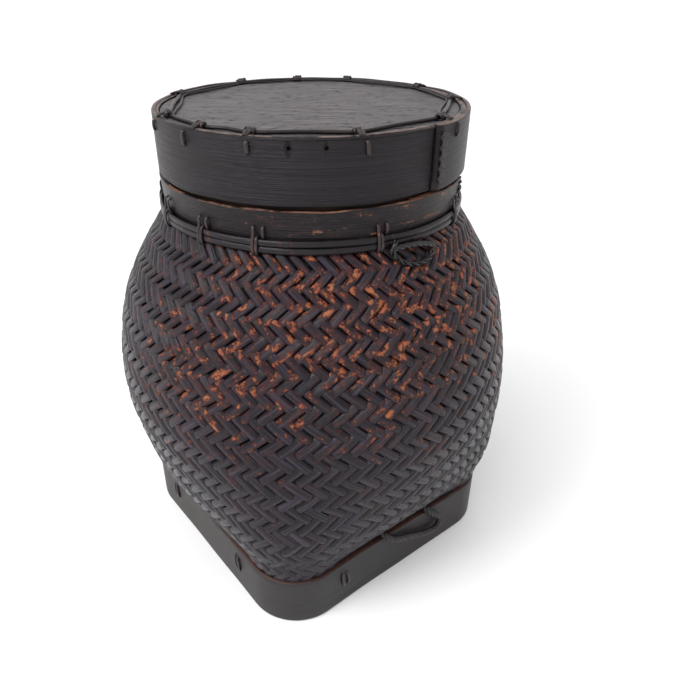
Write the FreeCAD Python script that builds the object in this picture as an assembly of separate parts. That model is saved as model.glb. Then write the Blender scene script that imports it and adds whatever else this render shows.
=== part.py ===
import FreeCAD, Part
import math
import os

# Lidded storage basket: a twined rattan body on a square bentwood foot, with a
# bentwood collar at the neck and a bentwood lid that lifts straight off.
# Millimetres. The origin is the centre of the foot's underside and +Z is up.
# The sides of the square foot run along X and Y.

Vec = FreeCAD.Vector
UP = Vec(0, 0, 1)

# ---- driving dimensions -------------------------------------------------
CLEAR = 0.3                # gap between pieces that only lie against each other

FOOT_HALF = 115.0          # half the side of the square foot
FOOT_HEIGHT = 44.0
FOOT_CORNER = 40.0         # outer corner radius
FOOT_WALL = 6.0
FOOT_EDGE = 2.4            # worn rounding of the foot's outer edges
FOOT_SEAM_X = 22.0         # lap seam on the +Y side
FOOT_SEAM_GROOVE = 1.2

LEDGE_LOW, LEDGE_HIGH = 18.0, 35.6
LEDGE_WALL = 4.0
FOOT_STITCH_Z = 26.5
FOOT_STITCH_SLOPE = 7.0    # degrees off vertical
FOOT_STITCH_LENGTH = 13.0
FOOT_STITCHES = [("-Y", -54.0), ("-Y", 50.0), ("+X", -57.0), ("+Y", -52.0),
                 ("+Y", 55.0), ("-X", -55.0), ("-X", 53.0)]

BOTTOM_THICK = 4.6
BODY_LOW = 36.0            # underside of the woven bottom
BODY_FOOT_HALF = 108.5     # body's half side where it stands inside the foot
BODY_RIM_Z = 288.6
WALL_BELLY = 7.0           # wall thickness of the woven body, measured level
WALL_RIM = 10.4
SQUARE_FADE = 0.68         # share of the height over which the square turns round
SQUARE_POWER = 2.0
CORNER_SHARE = 0.35        # corner radius of the square part, per half side
# heights up the body and the half width there
BODY_PROFILE = [(44.0, 109.3), (73.5, 128.3), (113.0, 141.7), (155.0, 150.1),
                (197.0, 148.4), (241.0, 135.2), (288.6, 105.4)]

COLLAR_LOW, COLLAR_HIGH = 288.8, 315.0
COLLAR_R_LOW, COLLAR_R_HIGH = 104.4, 106.8
COLLAR_THICK = 2.6
COLLAR_SEAM = 33.0         # degrees round from +X
COLLAR_LAP = 35.0

NECK_R = 98.5
NECK_WALL = 3.0
NECK_HIGH = 340.7

HOOP_IN_R = 105.25
HOOP_DEPTH = 2.5
HOOP_TALL = 3.9
HOOP_LOW = 288.9

LASH_ANGLES = [-98.4, -75.3, -54.2, -13.5, 25.5, 60.0, 97.0, 133.0, 168.0, 205.0, 236.0]
LASH_WIDTH = 2.2
LASH_PITCH = 3.0
LASH_DEPTH = 1.6

LOOP_ROPE_R = 2.8
LOOP_PLANE_X = FOOT_HALF + CLEAR + LOOP_ROPE_R + 0.3
LOOP_AXIS_X, LOOP_AXIS_Z = 117.0, 47.4
# (out from the foot's centre, along Y, height) round the hanging loop
LOOP_ROUTE = [(LOOP_AXIS_X, -17.5, LOOP_AXIS_Z), (LOOP_PLANE_X, -12.0, 41.0),
              (LOOP_PLANE_X, 8.0, 33.0), (LOOP_PLANE_X, 28.0, 23.0),
              (LOOP_PLANE_X, 43.0, 21.5), (LOOP_PLANE_X, 44.0, 33.0),
              (LOOP_PLANE_X, 33.0, 42.0), (LOOP_AXIS_X, 29.0, LOOP_AXIS_Z)]

LUG_THICK_R, LUG_THIN_R = 3.0, 1.9
# (along Y, height) of the shoulder lug's two strands
LUG_UPPER = [(-17.0, 285.0), (-6.0, 285.6), (7.0, 284.6), (17.0, 283.0)]
LUG_LOWER = [(-17.0, 285.0), (-13.0, 278.0), (-2.0, 273.6), (10.0, 273.4), (18.0, 277.0), (17.0, 283.0)]

LID_LOW, LID_HIGH = 317.6, 356.3
LID_R = 107.6
LID_THICK = 3.2
LID_SEAM = 7.0             # degrees round from +X
LID_LAP = 40.0
DISC_R = 100.2
DISC_LOW, DISC_HIGH = 345.6, 350.6
LID_RING_LOW = 341.0
LID_RING_WALL = 4.6

CANE_R = 1.4
CANE_CIRCLE = 96.5
KNOT_WRAP_R = 0.65         # thickness of the wrapping round the cane
KNOT_STEP = 2.2            # from the tie to the wrapping beside it
KNOT_ANGLES = [-101.0, -77.0, -57.0, -21.0, 18.0, 56.0, 87.0, 125.0, 149.0, 176.0, 215.0]
STITCH_R = 1.1
STITCH_LEG_R = 0.7
STITCH_LOW, STITCH_HIGH = 340.1, 351.6
EMPTY_HOLES = [-43.5, -32.1]
EMPTY_HOLE_R = 1.1
EMPTY_HOLE_Z = 351.0


# ---- helpers ------------------------------------------------------------
def turned(shape, degrees):
    """A copy of shape turned about the vertical axis."""
    copy = shape.copy()
    copy.rotate(Vec(0, 0, 0), UP, degrees)
    return copy


def save(name, shape):
    """Write one node as a STEP file and print its volume."""
    shape.exportStep("parts/" + name + ".step")
    print("%-22s solids %3d  volume %10.1f  valid %s"
          % (name, len(shape.Solids), shape.Volume, shape.isValid()))


def group(shapes):
    """Separate solids kept in one node."""
    solids = []
    for shape in shapes:
        solids.extend(shape.Solids)
    return Part.makeCompound(solids)


def rounded_square(half, corner, z):
    """Closed wire of a square with round corners, sides along X and Y."""
    flat = half - corner
    diagonal = corner / math.sqrt(2.0)
    edges = []
    for quarter in range(4):
        turn = FreeCAD.Rotation(UP, 90.0 * quarter)
        side_low = turn.multVec(Vec(half, -flat, z))
        side_high = turn.multVec(Vec(half, flat, z))
        middle = turn.multVec(Vec(flat + diagonal, flat + diagonal, z))
        corner_end = turn.multVec(Vec(flat, half, z))
        edges.append(Part.LineSegment(side_low, side_high).toShape())
        edges.append(Part.Arc(side_high, middle, corner_end).toShape())
    return Part.Wire(edges)


def square_prism(half, corner, low, high):
    """Solid block with the rounded square section."""
    return Part.Face(rounded_square(half, corner, low)).extrude(Vec(0, 0, high - low))


def square_tube(half, corner, wall, low, high):
    """Bent strip standing on edge round a rounded square."""
    outside = square_prism(half, corner, low, high)
    inside = square_prism(half - wall, corner - wall, low - 1.0, high + 1.0)
    return outside.cut(inside)


def ring(inner, outer, low, high):
    """Plain ring about the vertical axis."""
    outside = Part.makeCylinder(outer, high - low, Vec(0, 0, low))
    inside = Part.makeCylinder(inner, high - low + 2.0, Vec(0, 0, low - 1.0))
    return outside.cut(inside)


def square_reach(angle):
    """Distance from centre to edge of a unit half-side rounded square, at an angle in radians."""
    folded = abs((angle + math.pi / 4) % (math.pi / 2) - math.pi / 4)
    flat = 1.0 - CORNER_SHARE
    if math.tan(folded) <= flat:
        return 1.0 / math.cos(folded)
    along = flat * (math.cos(folded) + math.sin(folded))
    return along + math.sqrt(along ** 2 - 2.0 * flat ** 2 + CORNER_SHARE ** 2)


def profile_curve():
    """Smooth curve of half width against height."""
    curve = Part.BSplineCurve()
    curve.interpolate([Vec(width, 0, height) for height, width in BODY_PROFILE])
    return curve


PROFILE = profile_curve()


def body_half_width(z):
    """Half width of the woven body at height z, found on the smooth profile."""
    low, high = PROFILE.FirstParameter, PROFILE.LastParameter
    for _ in range(40):
        middle = 0.5 * (low + high)
        if PROFILE.value(middle).z < z:
            low = middle
        else:
            high = middle
    return PROFILE.value(0.5 * (low + high)).x


def section_reach(z, angle, inset):
    """Distance from the axis to the body's surface, less an inset."""
    start, end = BODY_PROFILE[0][0], BODY_PROFILE[-1][0]
    share = max(0.0, (z - start) / (end - start))
    squareness = max(0.0, 1.0 - share / SQUARE_FADE) ** SQUARE_POWER
    width = body_half_width(max(z, start))
    return width * (1.0 - squareness + squareness * square_reach(angle)) - inset


def body_section(z, inset, scale=1.0):
    """Closed smooth wire round the body at height z."""
    count = 64
    points = []
    for step in range(count):
        angle = 2.0 * math.pi * step / count
        reach = section_reach(z, angle, inset) * scale
        points.append(Vec(reach * math.cos(angle), reach * math.sin(angle), z))
    curve = Part.BSplineCurve()
    curve.interpolate(Points=points, PeriodicFlag=True)
    return Part.Wire(curve.toShape())


def wall_inset(z):
    """Level thickness of the woven wall, growing towards the rim."""
    share = max(0.0, (z - 200.0) / (BODY_RIM_Z - 200.0))
    return WALL_BELLY + (WALL_RIM - WALL_BELLY) * share ** 2


def loft(wires):
    """Smooth solid through closed wires."""
    return Part.makeLoft(wires, True, False)


def lap_wire(outer, thickness, z, seam, lap, direction):
    """Outline, at one height, of a strip bent into a ring with overlapping ends."""
    pitch = thickness + CLEAR
    steps = 50
    span = 360.0 + lap
    outside, inside = [], []
    for step in range(steps + 1):
        turn = span * step / steps
        angle = math.radians(seam + direction * turn)
        reach = outer - pitch * turn / 360.0
        outside.append(Vec(reach * math.cos(angle), reach * math.sin(angle), z))
        inner = reach - thickness
        inside.append(Vec(inner * math.cos(angle), inner * math.sin(angle), z))
    outer_curve = Part.BSplineCurve()
    outer_curve.interpolate(outside)
    inner_curve = Part.BSplineCurve()
    inner_curve.interpolate(inside)
    tail = Part.LineSegment(outside[-1], inside[-1]).toShape()
    head = Part.LineSegment(inside[0], outside[0]).toShape()
    edges = [outer_curve.toShape(), tail, inner_curve.toShape(), head]
    return Part.Wire(Part.__sortEdges__(edges))


def lap_outer(outer, thickness, seam, direction, angle):
    """Outer radius of a lapped ring at an angle in degrees."""
    turn = (direction * (angle - seam)) % 360.0
    return outer - (thickness + CLEAR) * turn / 360.0


def path_wire(points):
    """Straight runs joined by tangent arcs as large as the runs allow."""
    edges = []
    start = points[0]
    for before, corner, after in zip(points, points[1:], points[2:]):
        to_before = before - corner
        to_after = after - corner
        shorter = min(to_before.Length, to_after.Length)
        half_turn = 0.5 * (math.pi - to_before.getAngle(to_after))
        setback = 0.45 * shorter
        radius = setback / math.tan(half_turn)
        unit_before = Vec(to_before).normalize()
        unit_after = Vec(to_after).normalize()
        bisector = (unit_before + unit_after).normalize()
        enter = corner + unit_before * setback
        leave = corner + unit_after * setback
        depth = radius * (1.0 / math.cos(half_turn) - 1.0)
        edges.append(Part.LineSegment(start, enter).toShape())
        edges.append(Part.Arc(enter, corner + bisector * depth, leave).toShape())
        start = leave
    edges.append(Part.LineSegment(start, points[-1]).toShape())
    return Part.Wire(edges)


def tube(points, radius):
    """Round bar along a rounded path, with ball ends."""
    wire = path_wire(points)
    first = (points[1] - points[0]).normalize()
    circle = Part.Wire(Part.makeCircle(radius, points[0], first))
    bar = wire.makePipeShell([circle], True, False)
    for end in (points[0], points[-1]):
        bar = bar.fuse(Part.makeSphere(radius, end))
    return bar


# ---- foot ---------------------------------------------------------------
def make_foot_frame():
    """Bent strip round the square foot, with its lap seam and stitch holes."""
    outside = square_prism(FOOT_HALF, FOOT_CORNER, 0.0, FOOT_HEIGHT)
    rims = []
    for edge in outside.Edges:
        if abs(edge.BoundBox.ZLength) < 0.01:
            rims.append(edge)
    outside = outside.makeFillet(FOOT_EDGE, rims)
    inside = square_prism(FOOT_HALF - FOOT_WALL, FOOT_CORNER - FOOT_WALL, -1.0, FOOT_HEIGHT + 1.0)
    frame = outside.cut(inside)
    groove = Part.makeBox(FOOT_SEAM_GROOVE, FOOT_SEAM_GROOVE * 2, FOOT_HEIGHT + 2.0,
                          Vec(FOOT_SEAM_X, FOOT_HALF - FOOT_SEAM_GROOVE, -1.0))
    frame = frame.cut(groove)
    for staple in foot_stitch_shapes(0.05):
        frame = frame.cut(staple)
    return frame


def make_ledge():
    """Inner strip that the woven bottom rests on."""
    half = FOOT_HALF - FOOT_WALL - CLEAR
    ledge = square_tube(half, FOOT_CORNER - FOOT_WALL - CLEAR, LEDGE_WALL, LEDGE_LOW, LEDGE_HIGH)
    for staple in foot_stitch_shapes(0.05):
        ledge = ledge.cut(staple)
    return ledge


def staple(length, leg_length, radius, slope, grow):
    """Outside bar with a leg at each end, standing at x = 0 and pointing to -X."""
    bar_radius = radius + grow
    top = Vec(radius + CLEAR, 0, 0.5 * length)
    low = Vec(radius + CLEAR, 0, -0.5 * length)
    shape = Part.makeCylinder(bar_radius, length, low, UP)
    for end in (top, low):
        shape = shape.fuse(Part.makeSphere(bar_radius, end))
        shape = shape.fuse(Part.makeCylinder(bar_radius, leg_length, end, Vec(-1, 0, 0)))
    shape.rotate(Vec(0, 0, 0), Vec(1, 0, 0), slope)
    return shape


def foot_stitch_shapes(grow):
    """Every short stitch that ties the foot to the ledge inside it."""
    turns = {"+X": 0.0, "+Y": 90.0, "-X": 180.0, "-Y": 270.0}
    sideways = {"+X": 1.0, "+Y": -1.0, "-X": -1.0, "-Y": 1.0}
    leg = FOOT_WALL + LEDGE_WALL + 3.0
    shapes = []
    for side, place in FOOT_STITCHES:
        shape = staple(FOOT_STITCH_LENGTH, leg, STITCH_R, FOOT_STITCH_SLOPE, grow)
        shape.translate(Vec(FOOT_HALF, place * sideways[side], FOOT_STITCH_Z))
        shapes.append(turned(shape, turns[side]))
    return shapes


def make_foot_seam_lacing():
    """Three flat stitches down the foot's lap seam."""
    stitches = []
    for level in (11.0, 22.0, 33.0):
        bar = Part.makeBox(9.0, 1.2, 3.0, Vec(FOOT_SEAM_X - 8.0, FOOT_HALF + 0.05, level - 1.5))
        bar = bar.makeFillet(0.5, bar.Edges)
        stitches.append(bar)
    return group(stitches)


def make_base_loop(side):
    """Hanging carrying loop on one side of the foot; side is 0 for +X and 180 for -X."""
    points = [Vec(x, y, z) for x, y, z in LOOP_ROUTE]
    return turned(tube(points, LOOP_ROPE_R), side)


# ---- woven body ---------------------------------------------------------
def make_woven_body():
    """Open wall: square at the foot, round from the belly to the neck."""
    start = BODY_PROFILE[0][0]
    foot_scale = BODY_FOOT_HALF / BODY_PROFILE[0][1]
    levels = [start, 56.0, 73.5, 93.0, 113.0, 134.0, 155.0, 176.0, 197.0, 219.0, 241.0, 265.0, BODY_RIM_Z]
    outer = [body_section(z, 0.0, foot_scale if z == start else 1.0) for z in levels]
    inner = [body_section(z, wall_inset(z)) for z in levels]
    wall = loft(outer).cut(loft(inner))
    foot_low = BODY_LOW + BOTTOM_THICK + 0.1
    foot = body_section(start, 0.0, foot_scale)
    foot_inner = body_section(start, wall_inset(start))
    skirt_out = Part.Face(foot).extrude(Vec(0, 0, foot_low - start))
    skirt_in = Part.Face(foot_inner).extrude(Vec(0, 0, foot_low - start))
    return wall.fuse(skirt_out.cut(skirt_in)).removeSplitter()


def make_woven_bottom():
    """Flat woven mat that closes the basket and rests on the ledge."""
    return square_prism(BODY_FOOT_HALF - 1.5, FOOT_CORNER - FOOT_WALL - 1.0, BODY_LOW, BODY_LOW + BOTTOM_THICK)


def shoulder_point(y, z, clearance):
    """A point on the +X shoulder that stands off the woven surface."""
    reach = body_half_width(z) + clearance
    return Vec(math.sqrt(reach ** 2 - y ** 2), y, z)


def make_shoulder_lug(side):
    """Twisted lug for a carrying cord, lying on the shoulder under the hoops."""
    slope_factor = 1.3
    upper = [shoulder_point(y, z, slope_factor * (LUG_THICK_R + CLEAR)) for y, z in LUG_UPPER]
    lower = [shoulder_point(y, z, slope_factor * (LUG_THIN_R + CLEAR)) for y, z in LUG_LOWER]
    return turned(tube(upper, LUG_THICK_R).fuse(tube(lower, LUG_THIN_R)), side)


# ---- neck ---------------------------------------------------------------
def make_collar():
    """Bent strip round the neck, a little wider at the top, with lapped ends."""
    low = lap_wire(COLLAR_R_LOW, COLLAR_THICK, COLLAR_LOW, COLLAR_SEAM, COLLAR_LAP, -1)
    high = lap_wire(COLLAR_R_HIGH, COLLAR_THICK, COLLAR_HIGH, COLLAR_SEAM, COLLAR_LAP, -1)
    return Part.makeLoft([low, high], True, True)


def collar_outer(z):
    """Largest outer radius of the collar at height z."""
    share = (z - COLLAR_LOW) / (COLLAR_HIGH - COLLAR_LOW)
    return COLLAR_R_LOW + (COLLAR_R_HIGH - COLLAR_R_LOW) * share


def half_round_hoop(inner, low, tall, depth):
    """Cane hoop, flat on the inside against the wall and rounded outside."""
    flat_low, flat_high = Vec(inner, 0, low), Vec(inner, 0, low + tall)
    edge = 0.9
    crown = Vec(inner + depth, 0, low + 0.5 * tall)
    curve = Part.BSplineCurve()
    curve.interpolate([flat_high, Vec(inner + edge, 0, low + tall), crown, Vec(inner + edge, 0, low), flat_low])
    outline = Part.Wire([Part.LineSegment(flat_low, flat_high).toShape(), curve.toShape()])
    return Part.Face(outline).revolve(Vec(0, 0, 0), UP, 360)


def seam_column(angle, radius, low, high, width, count):
    """A column of flat rattan stitches over a lap seam."""
    gap = 0.5
    tall = (high - low) / count
    stitches = []
    for step in range(count):
        bar = Part.makeBox(1.3, width, tall - gap, Vec(radius + 0.15, -0.5 * width, low + step * tall))
        bar = bar.makeFillet(0.5, bar.Edges)
        stitches.append(turned(bar, angle))
    return group(stitches)


def make_hoop_lashings():
    """Doubled rattan ties that hold the two hoops to the collar and the body."""
    top = 305.0
    over = HOOP_LOW + 2 * HOOP_TALL + 0.2
    hoop_face = HOOP_IN_R + HOOP_DEPTH + 0.15
    inside = [(collar_outer(top) + 0.1, top), (collar_outer(over + 1.6) + 0.1, over + 1.6),
              (hoop_face, over - 1.2), (hoop_face, HOOP_LOW + 0.8), (hoop_face - 0.6, HOOP_LOW - 0.3)]
    outside = [(reach + LASH_DEPTH, z) for reach, z in reversed(inside)]
    outline = [Vec(reach, 0, z) for reach, z in inside + outside]
    face = Part.Face(Part.makePolygon(outline + outline[:1]))
    strand = face.extrude(Vec(0, LASH_WIDTH, 0))
    strands = []
    for angle in LASH_ANGLES:
        for shift in (-0.5 * LASH_PITCH, 0.5 * LASH_PITCH):
            copy = strand.copy()
            copy.translate(Vec(0, shift - 0.5 * LASH_WIDTH, 0))
            strands.append(turned(copy, angle))
    return group(strands)


# ---- lid ----------------------------------------------------------------
def lid_outer(angle):
    """Outer radius of the lid band at an angle in degrees."""
    return lap_outer(LID_R, LID_THICK, LID_SEAM, 1, angle)


def lid_stitch_shapes(grow):
    """The ties that pass through the band at every knot."""
    shapes = []
    for angle in KNOT_ANGLES:
        reach = lid_outer(angle) + STITCH_R + 0.1
        bar = Part.makeCylinder(STITCH_R, STITCH_HIGH - STITCH_LOW, Vec(reach, 0, STITCH_LOW))
        shape = bar
        for level, inner in ((STITCH_HIGH, CANE_CIRCLE + CANE_R + CLEAR), (STITCH_LOW, DISC_R)):
            shape = shape.fuse(Part.makeSphere(STITCH_R, Vec(reach, 0, level)))
            leg = Part.makeCylinder(STITCH_LEG_R + grow, reach - inner, Vec(reach, 0, level), Vec(-1, 0, 0))
            shape = shape.fuse(leg)
        shapes.append(turned(shape, angle))
    return shapes


def make_lid_band():
    """Bent strip that forms the lid's wall, with lapped ends and stitch holes."""
    foot = lap_wire(LID_R, LID_THICK, LID_LOW, LID_SEAM, LID_LAP, 1)
    band = Part.Face(foot).extrude(Vec(0, 0, LID_HIGH - LID_LOW))
    holes = []
    for angle in KNOT_ANGLES:
        for level in (STITCH_LOW, STITCH_HIGH):
            hole = Part.makeCylinder(STITCH_LEG_R + 0.1, 16.0, Vec(LID_R + 4.0, 0, level), Vec(-1, 0, 0))
            holes.append(turned(hole, angle))
    for angle in EMPTY_HOLES:
        hole = Part.makeCylinder(EMPTY_HOLE_R, 16.0, Vec(LID_R + 4.0, 0, EMPTY_HOLE_Z), Vec(-1, 0, 0))
        holes.append(turned(hole, angle))
    return band.cut(Part.makeCompound(holes))


def knot_points():
    """Where the cane is tied down, at the cane's height."""
    height = DISC_HIGH + CANE_R + 2 * KNOT_WRAP_R + 0.1
    points = []
    for angle in KNOT_ANGLES:
        turn = math.radians(angle)
        points.append(Vec(CANE_CIRCLE * math.cos(turn), CANE_CIRCLE * math.sin(turn), height))
    return points


def make_lid_cane():
    """One cane laid in straight chords from knot to knot round the disc."""
    points = knot_points()
    shape = Part.makeSphere(CANE_R, points[0])
    for start, end in zip(points, points[1:] + points[:1]):
        along = end - start
        shape = shape.fuse(Part.makeCylinder(CANE_R, along.Length, start, along))
        shape = shape.fuse(Part.makeSphere(CANE_R, end))
    return shape


def make_lid_knots():
    """A wrapped bead on the cane beside every tie."""
    points = knot_points()
    knots = []
    for start, end in zip(points, points[1:] + points[:1]):
        along = (end - start).normalize()
        bead = Part.makeTorus(CANE_R + KNOT_WRAP_R + 0.05, KNOT_WRAP_R, start + along * KNOT_STEP, along)
        knots.append(bead)
    return group(knots)


def main():
    os.makedirs("parts", exist_ok=True)

    save("base_frame", make_foot_frame())
    save("base_ledge", make_ledge())
    save("base_stitches", group(foot_stitch_shapes(0.0)))
    save("base_seam_lacing", make_foot_seam_lacing())
    save("base_loop_right", make_base_loop(0.0))
    save("base_loop_left", make_base_loop(180.0))

    save("woven_bottom", make_woven_bottom())
    save("woven_body", make_woven_body())
    save("shoulder_lug_right", make_shoulder_lug(0.0))
    save("shoulder_lug_left", make_shoulder_lug(180.0))

    save("collar", make_collar())
    seam_radius = collar_outer(COLLAR_HIGH)
    save("collar_seam_lacing", seam_column(COLLAR_SEAM - 2.5, seam_radius, 299.0, 313.0, 4.0, 3))
    save("neck_ring", ring(NECK_R - NECK_WALL, NECK_R, COLLAR_LOW, NECK_HIGH))
    save("lower_hoop", half_round_hoop(HOOP_IN_R, HOOP_LOW, HOOP_TALL, HOOP_DEPTH))
    upper_low = HOOP_LOW + HOOP_TALL + 0.2
    save("upper_hoop", half_round_hoop(HOOP_IN_R, upper_low, HOOP_TALL, HOOP_DEPTH))
    save("hoop_lashings", make_hoop_lashings())

    save("lid_band", make_lid_band())
    save("lid_disc", Part.makeCylinder(DISC_R, DISC_HIGH - DISC_LOW, Vec(0, 0, DISC_LOW)))
    save("lid_support_ring", ring(DISC_R - LID_RING_WALL, DISC_R, LID_RING_LOW, DISC_LOW - 0.1))
    save("lid_cane", make_lid_cane())
    save("lid_knots", make_lid_knots())
    save("lid_stitches", group(lid_stitch_shapes(0.0)))
    save("lid_seam_lacing", seam_column(LID_SEAM + 3.0, LID_R, LID_LOW + 3.0, LID_HIGH - 4.0, 6.0, 4))


main()
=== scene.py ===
"""Visual model of a lidded rattan storage basket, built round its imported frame."""

import math

import bpy
import numpy as np
from bpy.props import FloatProperty, FloatVectorProperty, IntProperty, PointerProperty
from mathutils import Matrix, Vector


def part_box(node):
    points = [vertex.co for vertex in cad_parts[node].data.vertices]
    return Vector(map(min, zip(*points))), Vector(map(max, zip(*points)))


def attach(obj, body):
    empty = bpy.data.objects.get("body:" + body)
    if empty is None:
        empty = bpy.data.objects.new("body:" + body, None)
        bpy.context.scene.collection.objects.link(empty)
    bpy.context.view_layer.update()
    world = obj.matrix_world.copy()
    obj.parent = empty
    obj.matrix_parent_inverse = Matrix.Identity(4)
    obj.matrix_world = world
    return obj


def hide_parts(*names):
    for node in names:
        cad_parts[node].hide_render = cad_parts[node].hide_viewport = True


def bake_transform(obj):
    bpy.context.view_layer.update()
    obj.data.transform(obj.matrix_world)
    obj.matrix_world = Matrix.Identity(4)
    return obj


bl_info = {
    "name": "Lidded Rattan Basket",
    "version": (1, 0, 0),
    "blender": (4, 5, 0),
    "location": "View3D > Sidebar > Basket",
    "description": "Makes a twined rattan basket with a bentwood foot, collar and lid",
    "category": "Object",
}

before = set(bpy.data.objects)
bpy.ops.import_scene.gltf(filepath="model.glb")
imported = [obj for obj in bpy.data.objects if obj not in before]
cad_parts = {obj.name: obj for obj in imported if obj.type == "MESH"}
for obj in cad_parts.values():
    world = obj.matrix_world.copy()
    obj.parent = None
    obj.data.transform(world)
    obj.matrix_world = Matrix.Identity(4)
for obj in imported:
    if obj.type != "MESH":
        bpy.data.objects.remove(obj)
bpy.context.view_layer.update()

MM = 0.001
TURN = 2.0 * math.pi

UP = np.array([0.0, 0.0, 1.0])

# Places read from the frame.
FOOT_LOW, FOOT_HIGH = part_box("base_frame")
BODY_LOW, BODY_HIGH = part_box("woven_body")
MAT_LOW, MAT_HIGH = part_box("woven_bottom")
COLLAR_LOW, COLLAR_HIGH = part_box("collar")
HOOP_LOW, HOOP_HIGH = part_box("lower_hoop")
TOP_HOOP_LOW, TOP_HOOP_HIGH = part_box("upper_hoop")
BAND_LOW, BAND_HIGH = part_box("lid_band")
DISC_LOW, DISC_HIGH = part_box("lid_disc")

# The body's shape: heights in millimetres and the half width there.
BODY_PROFILE = [(44.0, 109.3), (73.5, 128.3), (113.0, 141.7), (155.0, 150.1),
                (197.0, 148.4), (241.0, 135.2), (288.6, 105.4)]
SQUARE_FADE = 0.68         # share of the body's height over which the square turns round
SQUARE_POWER = 2.0
CORNER_SHARE = 0.35        # corner radius of the square, as a share of its half side
CORNER_FILL = 5.5 * MM     # how far the lowest rows bulge at the foot's corners
CORNER_FILL_LOW, CORNER_FILL_HIGH = 42.0 * MM, 66.0 * MM

# A strand of the weave.
LOWER_EDGE_PROUD = 0.22    # how far it tips its lower edge outward, as a share of its depth
FRONT_RUN = 0.80           # share of its half wave that it spends climbing in front
STROKE_LIFT = 0.66         # how far it climbs either way, in pitches of a row
STROKE_WIDTH = 1.01        # its width in front, as a share of the room between strokes
HIDDEN_WIDTH = 0.40        # its width behind a stake, in pitches of a row
STROKE_INSET = 0.76        # how deep its middle lies in front, in depths of a strand
STROKE_AROUND = 12         # points round it
STAKE_INSET = 0.56         # how deep the stakes lie, in depths of a strand
ROW_GROWTH = 0.17          # how much taller the lowest row is than the highest

# Strips, in the order they are bent: thickness and how much their edges are rounded.
FOOT_THICK, FOOT_EDGE, FOOT_CORNER = 6.0 * MM, 2.0 * MM, 40.0 * MM
COLLAR_THICK, COLLAR_EDGE = 2.6 * MM, 0.7 * MM
COLLAR_FOOT_RADIUS, COLLAR_TOP_RADIUS = 104.4 * MM, 106.8 * MM
BAND_THICK, BAND_EDGE, BAND_OUTER = 3.2 * MM, 0.8 * MM, 107.6 * MM
LAP_GAP = 0.3 * MM          # room between the two ends of a lapped strip

# Angles in degrees round the basket from +X.
COLLAR_SEAM, COLLAR_LAP = 33.0, 35.0
LID_SEAM, LID_LAP = 7.0, 40.0
KNOT_ANGLES = [-101.0, -77.0, -57.0, -21.0, 18.0, 56.0, 87.0, 125.0, 149.0, 176.0, 215.0]
TIE_ANGLES = [-105.0, -81.5, -56.5, -19.2, 18.5, 52.0, 84.0, 124.0, 148.0, 178.0, 218.0]
EMPTY_HOLES = [-43.5, -32.1]
LASH_ANGLES = [-98.4, -75.3, -54.2, -13.5, 25.5, 60.0, 97.0, 133.0, 168.0, 205.0, 236.0]
GRAIN_BEARING = 52.0
CANE_CIRCLE = 97.2 * MM
BOARD_TOP = DISC_HIGH.z + 3.8 * MM
RIM_TOP = BAND_HIGH.z - 1.0 * MM

# The foot's ties: the side's angle and how far along it; then the heights of the ties on its lap.
FOOT_STITCHES = [(-90, -54.0), (-90, 50.0), (0, -57.0), (90, 52.0), (90, -55.0), (180, 55.0),
                 (180, -53.0)]
FOOT_STITCH_LEVEL, FOOT_STITCH_LEAN = 26.5 * MM, math.radians(7.0)
FOOT_SEAM_LEVELS = (11.0, 22.0, 33.0)

# The hanging loop's route on the +X side, and the three cords of the shoulder lug as (y, z), in millimetres.
LOOP_ROUTE = [(109.0, -18.5, 50.5), (113.0, -18.0, 49.0), (117.3, -16.5, 46.8), (118.9, -10.0, 40.5),
              (118.9, 8.0, 33.0), (118.8, 28.0, 23.0), (118.8, 43.5, 21.0), (118.8, 44.5, 33.0),
              (118.9, 34.0, 41.5), (117.3, 29.5, 46.8), (113.0, 29.0, 49.0), (109.0, 28.5, 50.5)]
LUG_UPPER = [(-21.0, 289.0), (-10.0, 289.6), (3.0, 287.8), (13.5, 284.0)]
LUG_LOWER = [(-21.0, 289.0), (-19.0, 283.0), (-11.0, 278.2), (0.0, 277.4), (9.0, 279.0), (13.5, 284.0)]
LUG_TIE = [(-18.5, 294.5), (-20.5, 291.0), (-21.5, 288.0), (-20.0, 283.0)]
LUG_CLEAR = 110.8 * MM      # keeps the lug outside the hoops


# ---- numbers ------------------------------------------------------------
def unit(vectors):
    """Vectors of length one."""
    return vectors / np.maximum(np.linalg.norm(vectors, axis=-1, keepdims=True), 1e-12)


def smooth_step(start, end, value):
    """Smooth step from nought at start to one at end."""
    share = np.clip((value - start) / (end - start), 0.0, 1.0)
    return share * share * (3.0 - 2.0 * share)


def ripple(angle, seed, waves=(2, 3, 5, 7)):
    """Smooth closed wobble round a ring, from about -1 to 1."""
    phases = np.random.default_rng(seed).uniform(0, TURN, len(waves))
    total = sum(np.cos(wave * angle + phase) for wave, phase in zip(waves, phases))
    return total / math.sqrt(2.0 * len(waves))


def natural_spline(knots, values):
    """Second derivatives of the natural cubic through the knots."""
    knots = np.asarray(knots, float)
    values = np.asarray(values, float)
    gaps = np.diff(knots)
    count = len(knots)
    matrix = np.eye(count)
    right = np.zeros(count)
    for place in range(1, count - 1):
        matrix[place, place - 1] = gaps[place - 1]
        matrix[place, place] = 2.0 * (gaps[place - 1] + gaps[place])
        matrix[place, place + 1] = gaps[place]
        rise = (values[place + 1] - values[place]) / gaps[place]
        fall = (values[place] - values[place - 1]) / gaps[place - 1]
        right[place] = 6.0 * (rise - fall)
    return knots, values, np.linalg.solve(matrix, right)


PROFILE = natural_spline([z * MM for z, _ in BODY_PROFILE], [r * MM for _, r in BODY_PROFILE])


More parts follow.
